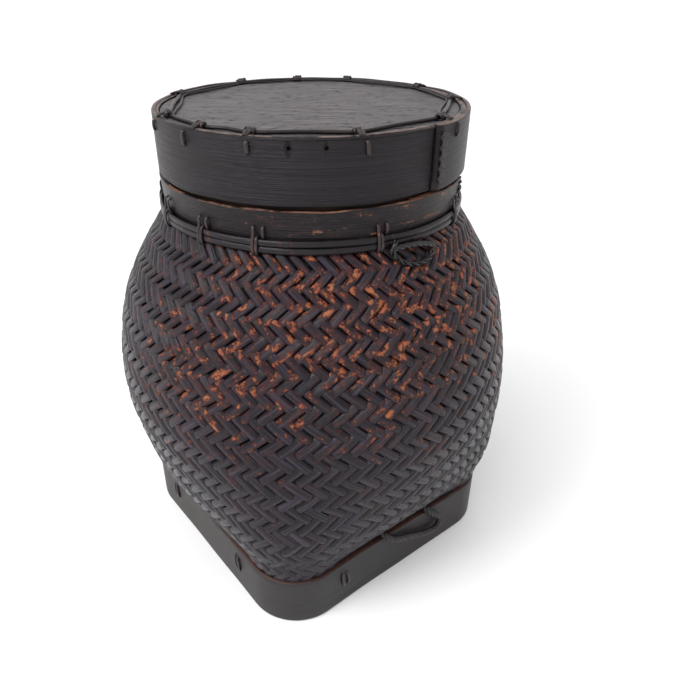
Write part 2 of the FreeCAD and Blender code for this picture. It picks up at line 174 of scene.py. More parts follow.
def half_width(z):
    """Half width of the woven body at height z, both in metres."""
    knots, values, bends = PROFILE
    z = np.asarray(z, float)
    place = np.clip(np.searchsorted(knots, z) - 1, 0, len(knots) - 2)
    gap = knots[place + 1] - knots[place]
    low = (knots[place + 1] - z) / gap
    high = (z - knots[place]) / gap
    curve = (low ** 3 - low) * bends[place] + (high ** 3 - high) * bends[place + 1]
    return low * values[place] + high * values[place + 1] + curve * gap ** 2 / 6.0


def square_reach(angle):
    """Distance from centre to edge of a rounded square whose half side is one."""
    folded = np.abs((angle + math.pi / 4) % (math.pi / 2) - math.pi / 4)
    flat = 1.0 - CORNER_SHARE
    along = flat * (np.cos(folded) + np.sin(folded))
    corner = along + np.sqrt(np.maximum(along ** 2 - 2.0 * flat ** 2 + CORNER_SHARE ** 2, 0.0))
    return np.where(np.tan(folded) <= flat, 1.0 / np.cos(folded), corner)


def body_surface(angle, z):
    """Points of the woven body's outer surface."""
    start, end = BODY_PROFILE[0][0] * MM, BODY_PROFILE[-1][0] * MM
    share = np.maximum(0.0, (z - start) / (end - start))
    squareness = np.maximum(0.0, 1.0 - share / SQUARE_FADE) ** SQUARE_POWER
    reach = half_width(z) * (1.0 - squareness + squareness * square_reach(angle))
    low_part = smooth_step(CORNER_FILL_HIGH, CORNER_FILL_LOW, z)
    reach = reach + CORNER_FILL * low_part * np.sin(2.0 * angle) ** 6
    return circle(reach, z, angle)


def body_normal(angle, z):
    """Outward unit normal of the woven body."""
    step = 0.002
    around = body_surface(angle + step, z) - body_surface(angle - step, z)
    upward = body_surface(angle, z + step * 0.1) - body_surface(angle, z - step * 0.1)
    return unit(np.cross(around, upward))


def rounded_runs(stops, corners, per_run):
    """Quadratic curves from stop to stop, each drawn towards its corner."""
    share = np.linspace(0.0, 1.0, per_run, endpoint=False)[:, None]
    return [start * (1 - share) ** 2 + 2 * corner * share * (1 - share) + end * share ** 2
            for start, corner, end in zip(stops[:-1], corners, stops[1:])]


def smooth_path(points, per_run=12):
    """Smooth curve that starts and ends at the end points and rounds the rest."""
    points = np.asarray(points, float)
    middles = 0.5 * (points[1:-2] + points[2:-1])
    stops = np.vstack([points[:1], middles, points[-1:]])
    return np.vstack(rounded_runs(stops, points[1:-1], per_run) + [points[-1:]])


def circle(radius, z, angle):
    """Points round the basket's axis; radius and z are numbers or one value an angle."""
    return np.stack([radius * np.cos(angle), radius * np.sin(angle), z + 0.0 * angle], -1)


def distances(points):
    """How far each point lies along the path."""
    return np.concatenate([[0.0], np.cumsum(np.linalg.norm(np.diff(points, axis=0), axis=1))])


def even_path(points, step):
    """The same path with its points evenly spaced."""
    travelled = distances(points)
    count = max(3, int(round(travelled[-1] / step)) + 1)
    places = np.linspace(0.0, travelled[-1], count)
    return np.stack([np.interp(places, travelled, points[:, axis]) for axis in range(3)], -1)


def polar(radius, degrees, z):
    """A point at a radius, an angle and a height."""
    turn = math.radians(degrees)
    return np.array([radius * math.cos(turn), radius * math.sin(turn), z])


def turned(points, degrees):
    """Points turned about the basket's axis."""
    turn = math.radians(degrees)
    cosine, sine = math.cos(turn), math.sin(turn)
    rotation = np.array([[cosine, sine, 0.0], [-sine, cosine, 0.0], [0.0, 0.0, 1.0]])
    return np.asarray(points, float) @ rotation


# ---- mesh making --------------------------------------------------------
class Bundle:
    """Points, faces and surface layers collected for one mesh."""

    def __init__(self):
        self.points, self.grain, self.rub = [], [], []
        self.quads, self.caps = [], []
        self.count = 0

    def add(self, points, quads, grain, rub, caps=()):
        """Adds mesh. Grain is along, across and a random number, and the last value says how proud a point
        is: proud points wear more, and low points get painted shade.
        """
        self.points.append(points.reshape(-1, 3))
        self.grain.append(np.broadcast_to(grain, points.shape).reshape(-1, 3))
        self.rub.append(np.broadcast_to(rub, points.shape[:-1]).ravel())
        self.quads.append(quads + self.count)
        self.caps += [[place + self.count for place in cap] for cap in caps]
        self.count += len(self.points[-1])

    def turn(self, degrees):
        """Turns everything about the basket's axis."""
        self.points = [turned(points, degrees) for points in self.points]


def grid_quads(rows, columns, wrap_rows):
    """Quads of rings of points, ring by ring; the last ring joins the first where wrap_rows is set."""
    row = np.arange(rows if wrap_rows else rows - 1)
    row, column = np.meshgrid(row, np.arange(columns), indexing="ij")
    next_row, next_column = (row + 1) % rows, (column + 1) % columns
    corners = [row * columns + column, row * columns + next_column,
               next_row * columns + next_column, next_row * columns + column]
    return np.stack(corners, -1).reshape(-1, 4)


def signed_volume(points, quads):
    """Volume of a closed mesh, negative when its faces look inward."""
    a, b, c, d = (points[quads[:, corner]] for corner in range(4))
    return float((a * np.cross(b, c)).sum() + (a * np.cross(c, d)).sum())


def end_caps(rings, around):
    """The first and last ring of points, as faces."""
    return [list(range(around)), list(range((rings - 1) * around, rings * around))[::-1]]


def make_piece(bundle, name, finish, body, replaces=()):
    """Turns a bundle into a mesh object that rides on a body."""
    points = np.vstack(bundle.points)
    quads = np.vstack(bundle.quads)
    if signed_volume(points, quads) < 0:
        quads = quads[:, ::-1]
        caps = [cap[::-1] for cap in bundle.caps]
    else:
        caps = bundle.caps
    mesh = bpy.data.meshes.new(name)
    corners = [quads.ravel()] + [np.array(cap) for cap in caps]
    sizes = np.concatenate([np.full(len(quads), 4), [len(cap) for cap in caps]]).astype(int)
    loops = np.concatenate(corners).astype(np.int32)
    mesh.vertices.add(len(points))
    mesh.vertices.foreach_set("co", points.astype(np.float32).ravel())
    mesh.loops.add(len(loops))
    mesh.loops.foreach_set("vertex_index", loops)
    mesh.polygons.add(len(sizes))
    mesh.polygons.foreach_set("loop_start", np.concatenate([[0], np.cumsum(sizes)[:-1]]).astype(np.int32))
    mesh.update(calc_edges=True)
    grain = mesh.attributes.new("grain_path", "FLOAT_VECTOR", "POINT")
    grain.data.foreach_set("vector", np.vstack(bundle.grain).astype(np.float32).ravel())
    rub = mesh.attributes.new("rub", "FLOAT", "POINT")
    rub.data.foreach_set("value", np.concatenate(bundle.rub).astype(np.float32))
    mesh.polygons.foreach_set("use_smooth", np.ones(len(sizes), bool))
    mesh.materials.append(bpy.data.materials[finish])
    piece = bpy.data.objects.new(name, mesh)
    bpy.context.scene.collection.objects.link(piece)
    if body:
        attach(piece, body)
    if replaces:
        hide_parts(*replaces)
    return piece


def set_finish(node, finish):
    """Gives a node of the frame a better finish."""
    node.data.materials.clear()
    node.data.materials.append(bpy.data.materials[finish])


def sweep(bundle, centres, outward, section, closed=False, random=0.5, scale=None, rub=None):
    """Sweeps a section along a path. Section x lies across the path and y along outward."""
    count, around = len(centres), len(section)
    if closed:
        tangent = unit(np.roll(centres, -1, 0) - np.roll(centres, 1, 0))
    else:
        tangent = unit(np.gradient(centres, axis=0))
    across = unit(np.cross(np.broadcast_to(outward, centres.shape), tangent))
    proud = np.cross(tangent, across)
    shape = np.broadcast_to(section, (count, around, 2)).copy()
    if scale is not None:
        shape *= scale[:, None, None]
    points = centres[:, None] + across[:, None] * shape[..., :1] + proud[:, None] * shape[..., 1:]
    grain = np.empty(points.shape)
    grain[..., 0] = distances(centres)[:, None]
    grain[..., 1] = np.linspace(0, 1, around, endpoint=False)
    grain[..., 2] = random
    # By default the outward side gets high values, where it wears, and the inward side low ones, where
    # painted shade darkens it.
    if rub is None:
        rub = 0.5 + 0.5 * section[:, 1] / np.abs(section[:, 1]).max()
    bundle.add(points, grid_quads(count, around, closed)[:, ::-1], grain, rub,
               [] if closed else end_caps(count, around))


def bent(route, step=0.5 * MM):
    """A smooth path with even steps along a route in millimetres."""
    return even_path(smooth_path(np.array(route) * MM), step)


def add_tie(bundle, path, section, random, degrees=0.0, outward=(1.0, 0.0, 0.0), scale=None):
    """A strand whose path is given on the +X side and then turned to its place."""
    sweep(bundle, turned(path, degrees), turned([outward], degrees), section, random=random, scale=scale)


def round_section(width, depth, around=12, flatness=1.0):
    """Oval section; flatness under one squares it off."""
    turn = np.linspace(0.0, TURN, around, endpoint=False)
    across = np.sign(np.cos(turn)) * np.abs(np.cos(turn)) ** flatness
    proud = np.sign(np.sin(turn)) * np.abs(np.sin(turn)) ** flatness
    return np.stack([0.5 * width * across, 0.5 * depth * proud], -1)


def end_taper(count, length=3, smallest=0.45):
    """Scale that rounds off the two ends of a sweep."""
    scale = np.ones(count)
    ramp = smallest + (1.0 - smallest) * np.sin(np.linspace(0.0, math.pi / 2, length, endpoint=False))
    scale[:length] = ramp
    scale[-length:] = ramp[::-1]
    return scale


# ---- materials ----------------------------------------------------------
def add_node(tree, kind, inputs=None, **settings):
    """Adds a node, sets its properties and the defaults of its inputs."""
    made = tree.nodes.new(kind)
    for name, value in settings.items():
        setattr(made, name, value)
    for key, value in (inputs or {}).items():
        if isinstance(value, bpy.types.NodeSocket):
            tree.links.new(value, made.inputs[key])
        else:
            made.inputs[key].default_value = value
    return made


def math_node(tree, operation, first, second):
    """A Math node's output."""
    return add_node(tree, "ShaderNodeMath", {0: first, 1: second}, operation=operation).outputs[0]


def times(tree, first, second):
    """The product of two values."""
    return math_node(tree, "MULTIPLY", first, second)


def plus(tree, first, second):
    """The sum of two values."""
    return math_node(tree, "ADD", first, second)


def mix_colour(tree, share, first, second):
    """A colour Mix node's output."""
    return add_node(tree, "ShaderNodeMix", {0: share, 6: first, 7: second}, data_type="RGBA").outputs[2]


def ramp_value(tree, value, low, high):
    """Smooth step of a value from low to high."""
    made = add_node(tree, "ShaderNodeMapRange", {0: value, 1: low, 2: high, 3: 0.0, 4: 1.0},
                    interpolation_type="SMOOTHSTEP")
    return made.outputs[0]


def noise_value(tree, vector, scale, detail=3.0, roughness=0.55):
    """A Noise Texture's value."""
    made = add_node(tree, "ShaderNodeTexNoise",
                    {"Vector": vector, "Scale": scale, "Detail": detail, "Roughness": roughness})
    return made.outputs["Fac"]


def stretched_noise(tree, vector, size, detail, roughness=0.55):
    """A Noise Texture's value with its own scale on each axis."""
    sized = add_node(tree, "ShaderNodeVectorMath", {0: vector, 1: size}, operation="MULTIPLY")
    return noise_value(tree, sized.outputs[0], 1.0, detail, roughness)


def scaled_input(group, entry, name):
    """A group's Path input multiplied by another of its inputs."""
    inputs = {0: entry.outputs["Path"], "Scale": entry.outputs[name]}
    return add_node(group, "ShaderNodeVectorMath", inputs, operation="SCALE").outputs[0]


def new_group(name, inputs, outputs):
    """An empty node group with its sockets, and its two end nodes."""
    group = bpy.data.node_groups.new(name, "ShaderNodeTree")
    for label, default in inputs.items():
        kind = "NodeSocketVector" if default is None else "NodeSocketFloat"
        socket = group.interface.new_socket(label, in_out="INPUT", socket_type=kind)
        if default is not None:
            socket.default_value = default
    for label in outputs:
        group.interface.new_socket(label, in_out="OUTPUT", socket_type="NodeSocketFloat")
    return group, group.nodes.new("NodeGroupInput"), group.nodes.new("NodeGroupOutput")


def build_fibre_group():
    """Streaks that run along the fibre: a broad one for colour and a fine one for relief."""
    group, entry, leave = new_group("Fibre Lines", {"Path": None, "Fineness": 1.0}, ("Broad", "Fine"))
    path = scaled_input(group, entry, "Fineness")
    broad = stretched_noise(group, path, (26.0, 5.0, 37.0), 3.0, 0.66)
    fine = stretched_noise(group, path, (60.0, 9.0, 53.0), 3.0, 0.7)
    group.links.new(broad, leave.inputs["Broad"])
    group.links.new(fine, leave.inputs["Fine"])
    return group


def build_handled_group():
    """Where hands and knocks have worn the lacquer: the upper part of one side most."""
    group, entry, leave = new_group("Handled Side", {"Place": None, "Elsewhere": 0.25}, ("Share",))
    place = add_node(group, "ShaderNodeSeparateXYZ", {0: entry.outputs["Place"]})
    facing = plus(group, times(group, place.outputs[0], 6.3), times(group, place.outputs[1], -1.1))
    side = ramp_value(group, facing, -0.45, 0.75)
    height = ramp_value(group, place.outputs[2], 0.095, 0.205)
    patchy = ramp_value(group, noise_value(group, entry.outputs["Place"], 9.0, 2.0), 0.18, 0.55)
    strength = times(group, side, times(group, height, patchy))
    least = times(group, height, entry.outputs["Elsewhere"])
    group.links.new(math_node(group, "MAXIMUM", strength, least), leave.inputs["Share"])
    return group


def build_worn_group():
    """Patches where the dark coat has gone, with ragged edges."""
    group, entry, leave = new_group(
        "Worn Patches", {"Path": None, "Place": None, "Rub": 0.5, "Cover": 0.3, "Size": 1.0},
        ("Mask", "Halo", "Tint"))
    blotch = stretched_noise(group, scaled_input(group, entry, "Size"), (175.0, 1.3, 61.0), 2.0, 0.6)
    ragged = noise_value(group, entry.outputs["Place"], 640.0, 4.0, 0.78)
    mixed = plus(group, times(group, blotch, 0.60), times(group, ragged, 0.40))
    raised = plus(group, mixed, times(group, entry.outputs["Rub"], 0.1))
    level = math_node(group, "SUBTRACT", 0.775, times(group, entry.outputs["Cover"], 0.15))
    over = math_node(group, "SUBTRACT", raised, level)
    group.links.new(ramp_value(group, over, 0.0, 0.022), leave.inputs["Mask"])
    group.links.new(ramp_value(group, over, -0.10, 0.0), leave.inputs["Halo"])
    group.links.new(noise_value(group, entry.outputs["Place"], 260.0, 2.0), leave.inputs["Tint"])
    return group


def add_group(tree, name, builder, inputs):
    """A shared node group with its inputs set; it is built the first time that it is asked for."""
    shared = bpy.data.node_groups.get(name) or builder()
    return add_node(tree, "ShaderNodeGroup", inputs, node_tree=shared)


def shaded(colour, red=1.0, green=1.0, blue=1.0):
    """A colour with its channels scaled, and alpha added."""
    return (colour[0] * red, colour[1] * green, colour[2] * blue, 1.0)


def coat_colour(tree, dark, brown, worn, path, rub, streaks, halo):
    """The unworn coat: dark or brown from strand to strand, streaked, and with painted shade that makes it
    nearly black in the hollows and crevices.
    """
    strand = stretched_noise(tree, path, (11.0, 0.0, 913.0), 1.0)
    tint = times(tree, ramp_value(tree, strand, 0.42, 0.72), 0.75)
    coat = mix_colour(tree, tint, shaded(dark), shaded(brown))
    lighter = mix_colour(tree, streaks[0], coat, shaded(dark, streaks[1], streaks[1], streaks[1] * 1.12))
    lighter = mix_colour(tree, times(tree, halo, 0.7), lighter, shaded(worn, 0.22, 0.22, 0.4))
    # Painted shade: where the point's wear-and-shade value is low, in hollows and along the sides of strands,
    # the coat is mixed towards a near-black copy of the dark colour.
    return mix_colour(tree, ramp_value(tree, rub, 0.24, 0.76), shaded(dark, 0.4, 0.36, 0.36), lighter)


def lacquer_material(name, dark, brown, worn, amber, roughness=0.42, fineness=1.0, cover=0.5,
                     elsewhere=0.25, patch_size=1.0, handled=True, edge_wear=0.0, edge_start=0.86,
                     relief=0.5, use_grain=True, grey=0.0, gloss=0.4, streak=2.9):
    """Dark lacquer over rattan or wood, with fibre, tint from strand to strand, worn patches and painted
    shade in the hollows.
    """
    finish = bpy.data.materials.new(name)
    finish.use_nodes = True
    tree = finish.node_tree
    shader = tree.nodes["Principled BSDF"]
    place = add_node(tree, "ShaderNodeTexCoord").outputs["Object"]
    if use_grain:
        path = add_node(tree, "ShaderNodeAttribute", attribute_name="grain_path").outputs["Vector"]
        rub = add_node(tree, "ShaderNodeAttribute", attribute_name="rub").outputs["Fac"]
    else:
        path = add_node(tree, "ShaderNodeVectorMath", {0: place, 1: (1.0, 6.0, 1.0)},
                        operation="MULTIPLY").outputs[0]
        rub = noise_value(tree, place, 30.0)
    if handled:
        side = add_group(tree, "Handled Side", build_handled_group, {"Place": place, "Elsewhere": elsewhere})
        cover = times(tree, side.outputs["Share"], cover)
    fibre = add_group(tree, "Fibre Lines", build_fibre_group, {"Path": path, "Fineness": fineness})
    broad, fine = fibre.outputs["Broad"], fibre.outputs["Fine"]
    patches = add_group(tree, "Worn Patches", build_worn_group,
                        {"Path": path, "Place": place, "Rub": rub, "Cover": cover, "Size": patch_size})
    streaks = times(tree, ramp_value(tree, broad, 0.46, 0.66), 0.55 + grey)
    coat = coat_colour(tree, dark, brown, worn, path, rub, (streaks, streak), patches.outputs["Halo"])
    tint = ramp_value(tree, patches.outputs["Tint"], 0.35, 0.65)
    bare = mix_colour(tree, tint, shaded(worn), shaded(amber))
    bare = mix_colour(tree, times(tree, fine, 0.55), bare, shaded(worn, 0.35, 0.3, 0.4))
    mask = patches.outputs["Mask"]
    if edge_wear:
        edge_noise = noise_value(tree, place, 55.0, 4.0, 0.65)
        edge = times(tree, ramp_value(tree, rub, edge_start, 0.99),
                     ramp_value(tree, edge_noise, 0.62 - 0.3 * edge_wear, 0.7 - 0.25 * edge_wear))
        mask = math_node(tree, "MAXIMUM", mask, edge)
    tree.links.new(mix_colour(tree, mask, coat, bare), shader.inputs["Base Color"])
    rough = plus(tree, times(tree, fine, 0.22), times(tree, mask, 0.14))
    tree.links.new(plus(tree, rough, roughness - 0.1), shader.inputs["Roughness"])
    heights = plus(tree, times(tree, fine, 0.5), times(tree, broad, 0.5))
    heights = math_node(tree, "SUBTRACT", heights, times(tree, mask, 0.35))
    bump = add_node(tree, "ShaderNodeBump", {"Height": heights, "Strength": relief, "Distance": 0.0014})
    tree.links.new(bump.outputs[0], shader.inputs["Normal"])
    shader.inputs["Specular IOR Level"].default_value = gloss


# ---- property groups ----------------------------------------------------
class BasketWeaveSettings(bpy.types.PropertyGroup):
    """Sizes of the twined wall."""

    strokes: IntProperty(name="Strokes", description="Slanted strokes in a row; each spans two stakes",
                         default=80, min=12)
    rows: IntProperty(name="Rows", description="Twined rows from the hoops to the foot", default=24, min=4)
    depth: FloatProperty(name="Strand depth", description="Thickness of a rattan strand",
                         default=2.9 * MM, unit="LENGTH")
    swing: FloatProperty(name="Swing", description="How far a strand passes in front of a stake",
                         default=2.4 * MM, unit="LENGTH")
    unevenness: FloatProperty(name="Unevenness", description="How irregular the hand work is", default=1.0,
                              min=0.0, max=2.0, subtype="FACTOR")
    segments: IntProperty(name="Segments", description="Mesh steps from stake to stake", default=14, min=4)


class BasketColourSettings(bpy.types.PropertyGroup):
    """Colours of the coat and of what it covers."""

    lacquer: FloatVectorProperty(name="Lacquer", description="Dark coat", default=(0.0084, 0.0068, 0.0094),
                                 subtype="COLOR")
    brown: FloatVectorProperty(name="Brown", description="Thin coat over some strands",
                               default=(0.021, 0.0115, 0.0142), subtype="COLOR")
    worn: FloatVectorProperty(name="Worn rattan", description="Rattan where the coat has gone",
                              default=(0.25, 0.066, 0.034), subtype="COLOR")
    amber: FloatVectorProperty(name="Amber", description="Lightest worn rattan", default=(0.36, 0.125, 0.050),
                               subtype="COLOR")
    disc: FloatVectorProperty(name="Lid board", description="Greyed wood of the lid's board",
                              default=(0.068, 0.061, 0.060), subtype="COLOR")
    inside: FloatVectorProperty(name="Inside wood", description="Unlacquered wood inside",
                                default=(0.045, 0.024, 0.015), subtype="COLOR")


class BasketStageSettings(bpy.types.PropertyGroup):
    """Camera, floor and lights."""

    azimuth: FloatProperty(name="Azimuth", description="Camera's bearing from the -Y side",
                           default=math.radians(53.08), subtype="ANGLE")
    distance: FloatProperty(name="Distance", description="Level distance from the axis", default=0.4577,
                            unit="LENGTH")
    height: FloatProperty(name="Height", description="Camera's height", default=0.4367, unit="LENGTH")
    pitch: FloatProperty(name="Pitch", description="How far the camera looks down",
                         default=math.radians(31.55), subtype="ANGLE")
    yaw: FloatProperty(name="Yaw", description="Turn away from the axis", default=math.radians(-0.75),
                       subtype="ANGLE")
    roll: FloatProperty(name="Roll", description="Tilt of the camera", default=math.radians(-0.25),
                        subtype="ANGLE")
    lens: FloatProperty(name="Lens", description="Focal length in millimetres", default=32.77)
    sun: FloatProperty(name="Sun", description="Strength of the soft light from the left", default=1.0)
    key: FloatProperty(name="Key light", description="Power of the large light", default=8.5)
    sky: FloatProperty(name="Sky", description="Strength of the even light", default=1.0)


# ---- operators ----------------------------------------------------------
class BASKET_OT_materials(bpy.types.Operator):
    """Make every finish used on the basket"""

    bl_idname = "basket.materials"
    bl_label = "Finishes"

    def execute(self, context):
        colours = context.scene.basket_colours
        dark, brown = tuple(colours.lacquer), tuple(colours.brown)
        worn, amber = tuple(colours.worn), tuple(colours.amber)
        woven, bare = dict(dark=dark, brown=brown), dict(worn=worn, amber=amber)
        plain = dict(handled=False)
        finishes = {
            "Woven Rattan": dict(woven, **bare, cover=0.95, elsewhere=0.28, relief=1.0, gloss=0.22,
                                 roughness=0.32, streak=6.2),
            "Lid Lacquer": dict(plain, dark=(0.0064, 0.0044, 0.0062), brown=(0.015, 0.009, 0.010),
                                worn=(0.125, 0.088, 0.076), amber=(0.20, 0.145, 0.125), cover=0.1,
                                edge_wear=0.8, gloss=0.27, grey=0.35, relief=0.9),
            "Collar Lacquer": dict(dark=(0.0056, 0.0038, 0.0052), brown=(0.014, 0.008, 0.009),
                                   worn=(0.17, 0.070, 0.042), amber=(0.23, 0.12, 0.075), roughness=0.36,
                                   cover=0.8, elsewhere=0.1, edge_wear=0.6, gloss=0.26, grey=0.2, relief=0.7),
            "Foot Lacquer": dict(plain, dark=(0.0150, 0.0125, 0.0130), brown=(0.024, 0.013, 0.012),
                                 worn=(0.045, 0.013, 0.008), amber=(0.075, 0.024, 0.012), roughness=0.46,
                                 cover=0.1, edge_wear=1.0, edge_start=0.92, gloss=0.36),
            "Hoop Cane": dict(plain, **bare, dark=(0.0085, 0.0068, 0.0080), brown=(0.018, 0.010, 0.010),
                              roughness=0.32, cover=0.2, gloss=0.24),
            "Eye Cane": dict(plain, **bare, dark=(0.0035, 0.003, 0.0035), brown=(0.008, 0.005, 0.005),
                             roughness=0.2, cover=0.2, gloss=0.45),
            "Loop Cord": dict(plain, **bare, dark=(0.014, 0.0115, 0.0125), brown=(0.020, 0.014, 0.014),
                              roughness=0.4, cover=0.0, gloss=0.36),
            "Rattan Tie": dict(plain, dark=(0.0125, 0.0080, 0.0084), brown=(0.030, 0.0140, 0.0130),
                               worn=(0.20, 0.08, 0.04), amber=amber, roughness=0.36, cover=0.35),
            "Lid Board": dict(plain, dark=tuple(colours.disc), brown=(0.050, 0.042, 0.040),
                              worn=(0.018, 0.015, 0.015), amber=(0.03, 0.025, 0.024), roughness=0.52,
                              cover=0.55, grey=0.2, relief=0.8, patch_size=0.8, gloss=0.24, streak=3.2),
            "Inside Wood": dict(plain, dark=tuple(colours.inside), brown=(0.03, 0.015, 0.010),
                                worn=(0.12, 0.07, 0.04), amber=(0.15, 0.09, 0.05), roughness=0.6,
                                cover=0.0, use_grain=False),
        }
        for name, values in finishes.items():
            lacquer_material(name, **values)
        return {"FINISHED"}


def row_levels(rows):
    """Centre height and pitch of every row, from the hoops down to one tucked inside the foot."""
    start, end = BODY_PROFILE[0][0] * MM, BODY_PROFILE[-1][0] * MM
    z = np.linspace(start, end, 600)
    arc = distances(np.stack([z, half_width(z)], -1))
    growth = 1.0 + ROW_GROWTH * np.linspace(-0.5, 0.5, rows)
    pitches = growth / growth.sum() * arc[-1]
    edges = arc[-1] - np.concatenate([[0.0], np.cumsum(pitches)])
    centres = 0.5 * (edges[:-1] + edges[1:])
    tucked = start - 0.3 * pitches[-1]
    return np.append(np.interp(centres, arc, z), tucked), np.append(pitches, pitches[-1])


def even_angles(z, shares):
    """Angles that split the body's girth at height z evenly, and the girth."""
    angle = np.linspace(0.0, TURN, 1441)
    girth = distances(body_surface(angle, np.full_like(angle, z)))
    whole = np.floor(shares)
    return np.interp((shares - whole) * girth[-1], girth, angle) + whole * TURN, girth[-1]


def add_ply(bundle, settings, row, ply, level, pitch):
    """One strand of a twined row: in front of two stakes, then behind the next two."""
    strokes, segments, rough = settings.strokes, settings.segments, settings.unevenness
    rng = np.random.default_rng(1000 + 2 * row + ply)
    u = np.arange(strokes * segments) / segments
    angle, girth = even_angles(level, (u + 0.5 * (row % 2)) / strokes)
    spacing = girth / strokes
    angle = angle + 0.07 * rough * ripple(angle, 50 + row, (3, 7, 13, 21)) * TURN / strokes

    # Every stroke is a little wider, deeper or steeper than the next.
    stroke = np.round((u + ply) / 2.0).astype(int) % (strokes // 2)
    wider, deeper, steeper = (rng.uniform(-1.0, 1.0, strokes // 2)[stroke] for _ in range(3))
    random = rng.uniform(0.0, 1.0, strokes // 2)[stroke]

    # Share runs from -1 to 1 along a stroke, with its middle in front at nought.
    share = (u + ply + 1.0) % 2.0 - 1.0
    away = np.abs(share)
    front = smooth_step(0.95, 0.45, away)
    swing = settings.swing * (1.0 - 2.0 * smooth_step(0.50, 0.92, away))
    swing = swing + rough * 0.28 * MM * deeper * front
    run = share / FRONT_RUN
    behind = np.sign(share) * np.sin(0.5 * math.pi * (1.0 - away) / (1.0 - FRONT_RUN))
    rise_share = np.where(away <= FRONT_RUN, run * (1.15 - 0.15 * run ** 4), behind)
    lean = 1.0 if row % 2 else -1.0
    lift = STROKE_LIFT * pitch
    climb = lean * lift * rise_share * (1.0 + rough * 0.05 * steeper * front)
    common, own = ripple(angle, 7, (2, 3, 5)), ripple(angle, 300 + row, (4, 9, 15))
    z = level + rough * (0.9 * MM * common + 0.35 * MM * own)
    normal = body_normal(angle, z)
    z = z + climb * np.sqrt(np.maximum(1.0 - normal[:, 2] ** 2, 0.05))
    inset = settings.swing + STROKE_INSET * settings.depth
    centre = body_surface(angle, z) + normal * (swing - inset)[:, None]

    slope = math.atan2(1.1 * lift, FRONT_RUN * spacing)
    widest = STROKE_WIDTH * spacing * math.sin(slope) * (1.0 + rough * 0.06 * wider)
    narrow = HIDDEN_WIDTH * pitch
    width = narrow + (widest - narrow) * smooth_step(1.0, 0.62, away)
    tangent = unit(np.roll(centre, -1, 0) - np.roll(centre, 1, 0))
    across = unit(np.cross(normal, tangent))
    proud = np.cross(tangent, across)
    turn = np.linspace(0.0, TURN, STROKE_AROUND, endpoint=False)
    side = np.sign(np.cos(turn)) * np.abs(np.cos(turn)) ** 0.95
    dome = np.sign(np.sin(turn)) * np.abs(np.sin(turn)) ** 0.92
    dome = np.where(dome > 0, 0.95 * dome, 0.42 * dome) - LOWER_EDGE_PROUD * side
    points = (centre[:, None] + across[:, None] * (0.5 * width[:, None] * side)[..., None]
              + proud[:, None] * (settings.depth * dome)[None, :, None])
    grain = np.empty(points.shape)
    grain[..., 0] = (u * spacing)[:, None]
    grain[..., 1] = side * 0.5
    grain[..., 2] = random[:, None]
    # Painted shade: the sides of each strand and its parts behind the stakes get low values and are darkened;
    # the proud front gets high values and wears.
    rub = smooth_step(0.94, 0.48, away)[:, None] * (0.35 + 0.65 * np.clip(np.sin(turn), 0.0, 1.0))
    bundle.add(points, grid_quads(len(u), STROKE_AROUND, True), grain, np.clip(rub, 0.0, 1.0))


class BASKET_OT_weave(bpy.types.Operator):
    """Twine the wall: two strands a row over pairs of stakes, the next row one stake on and leaning back"""

    bl_idname = "basket.weave"
    bl_label = "Woven wall"

    def execute(self, context):
        settings = context.scene.basket_weave
        for row, (level, pitch) in enumerate(zip(*row_levels(settings.rows))):
            bundle = Bundle()
            for ply in (0, 1):
                add_ply(bundle, settings, row, ply, level, pitch)
            make_piece(bundle, "weave_row_%02d" % (row + 1), "Woven Rattan", "basket", ["woven_body"])
        self.make_stakes(settings)
        return {"FINISHED"}

    def make_stakes(self, settings):
        """Thin upright stakes inside the twining."""
        bundle = Bundle()
        z = np.linspace(BODY_LOW.z + 1.0 * MM, BODY_HIGH.z - 0.5 * MM, 60)
        level = np.maximum(z, FOOT_HIGH.z)
        section = round_section(3.4 * MM, 1.8 * MM, 8, 0.7)
        stakes = 2 * settings.strokes
        angles = np.array([even_angles(height, np.arange(stakes) / stakes)[0] for height in level])
        for stake, angle in enumerate(angles.T):
            normal = body_normal(angle, level)
            centres = body_surface(angle, level) - normal * (settings.swing + STAKE_INSET * settings.depth)
            centres[:, 2] += z - level
            # The stakes get a low value, which darkens them with painted shade.
            sweep(bundle, centres, normal, section, random=stake * 0.37 % 1.0, rub=0.3)
        make_piece(bundle, "weave_stakes", "Woven Rattan", "basket", ["woven_body"])


def foot_outline(half, corner, steps):
    """Points round a rounded square and their outward normals, starting in the middle of +Y."""
    share = np.linspace(0.0, 1.0, steps)
    flat = half - corner
    run, bend = 2.0 * flat, 0.5 * math.pi * corner
    distance = (share * 4.0 * (run + bend) + 0.5 * run) % (4.0 * (run + bend))
    side = np.floor(distance / (run + bend))
    local = distance - side * (run + bend)
    turn = np.clip(local - run, 0.0, bend) / corner
    along = np.minimum(local, run)
    x = np.where(local <= run, half, flat + corner * np.cos(turn))
    y = np.where(local <= run, along - flat, flat + corner * np.sin(turn))
    normal_x, normal_y = np.cos(turn), np.sin(turn)
    spin = (side + 1.0) * 0.5 * math.pi
    cosine, sine = np.cos(spin), np.sin(spin)
    points = np.stack([x * cosine - y * sine, x * sine + y * cosine], -1)
    normals = np.stack([normal_x * cosine - normal_y * sine, normal_x * sine + normal_y * cosine], -1)
    return points, normals


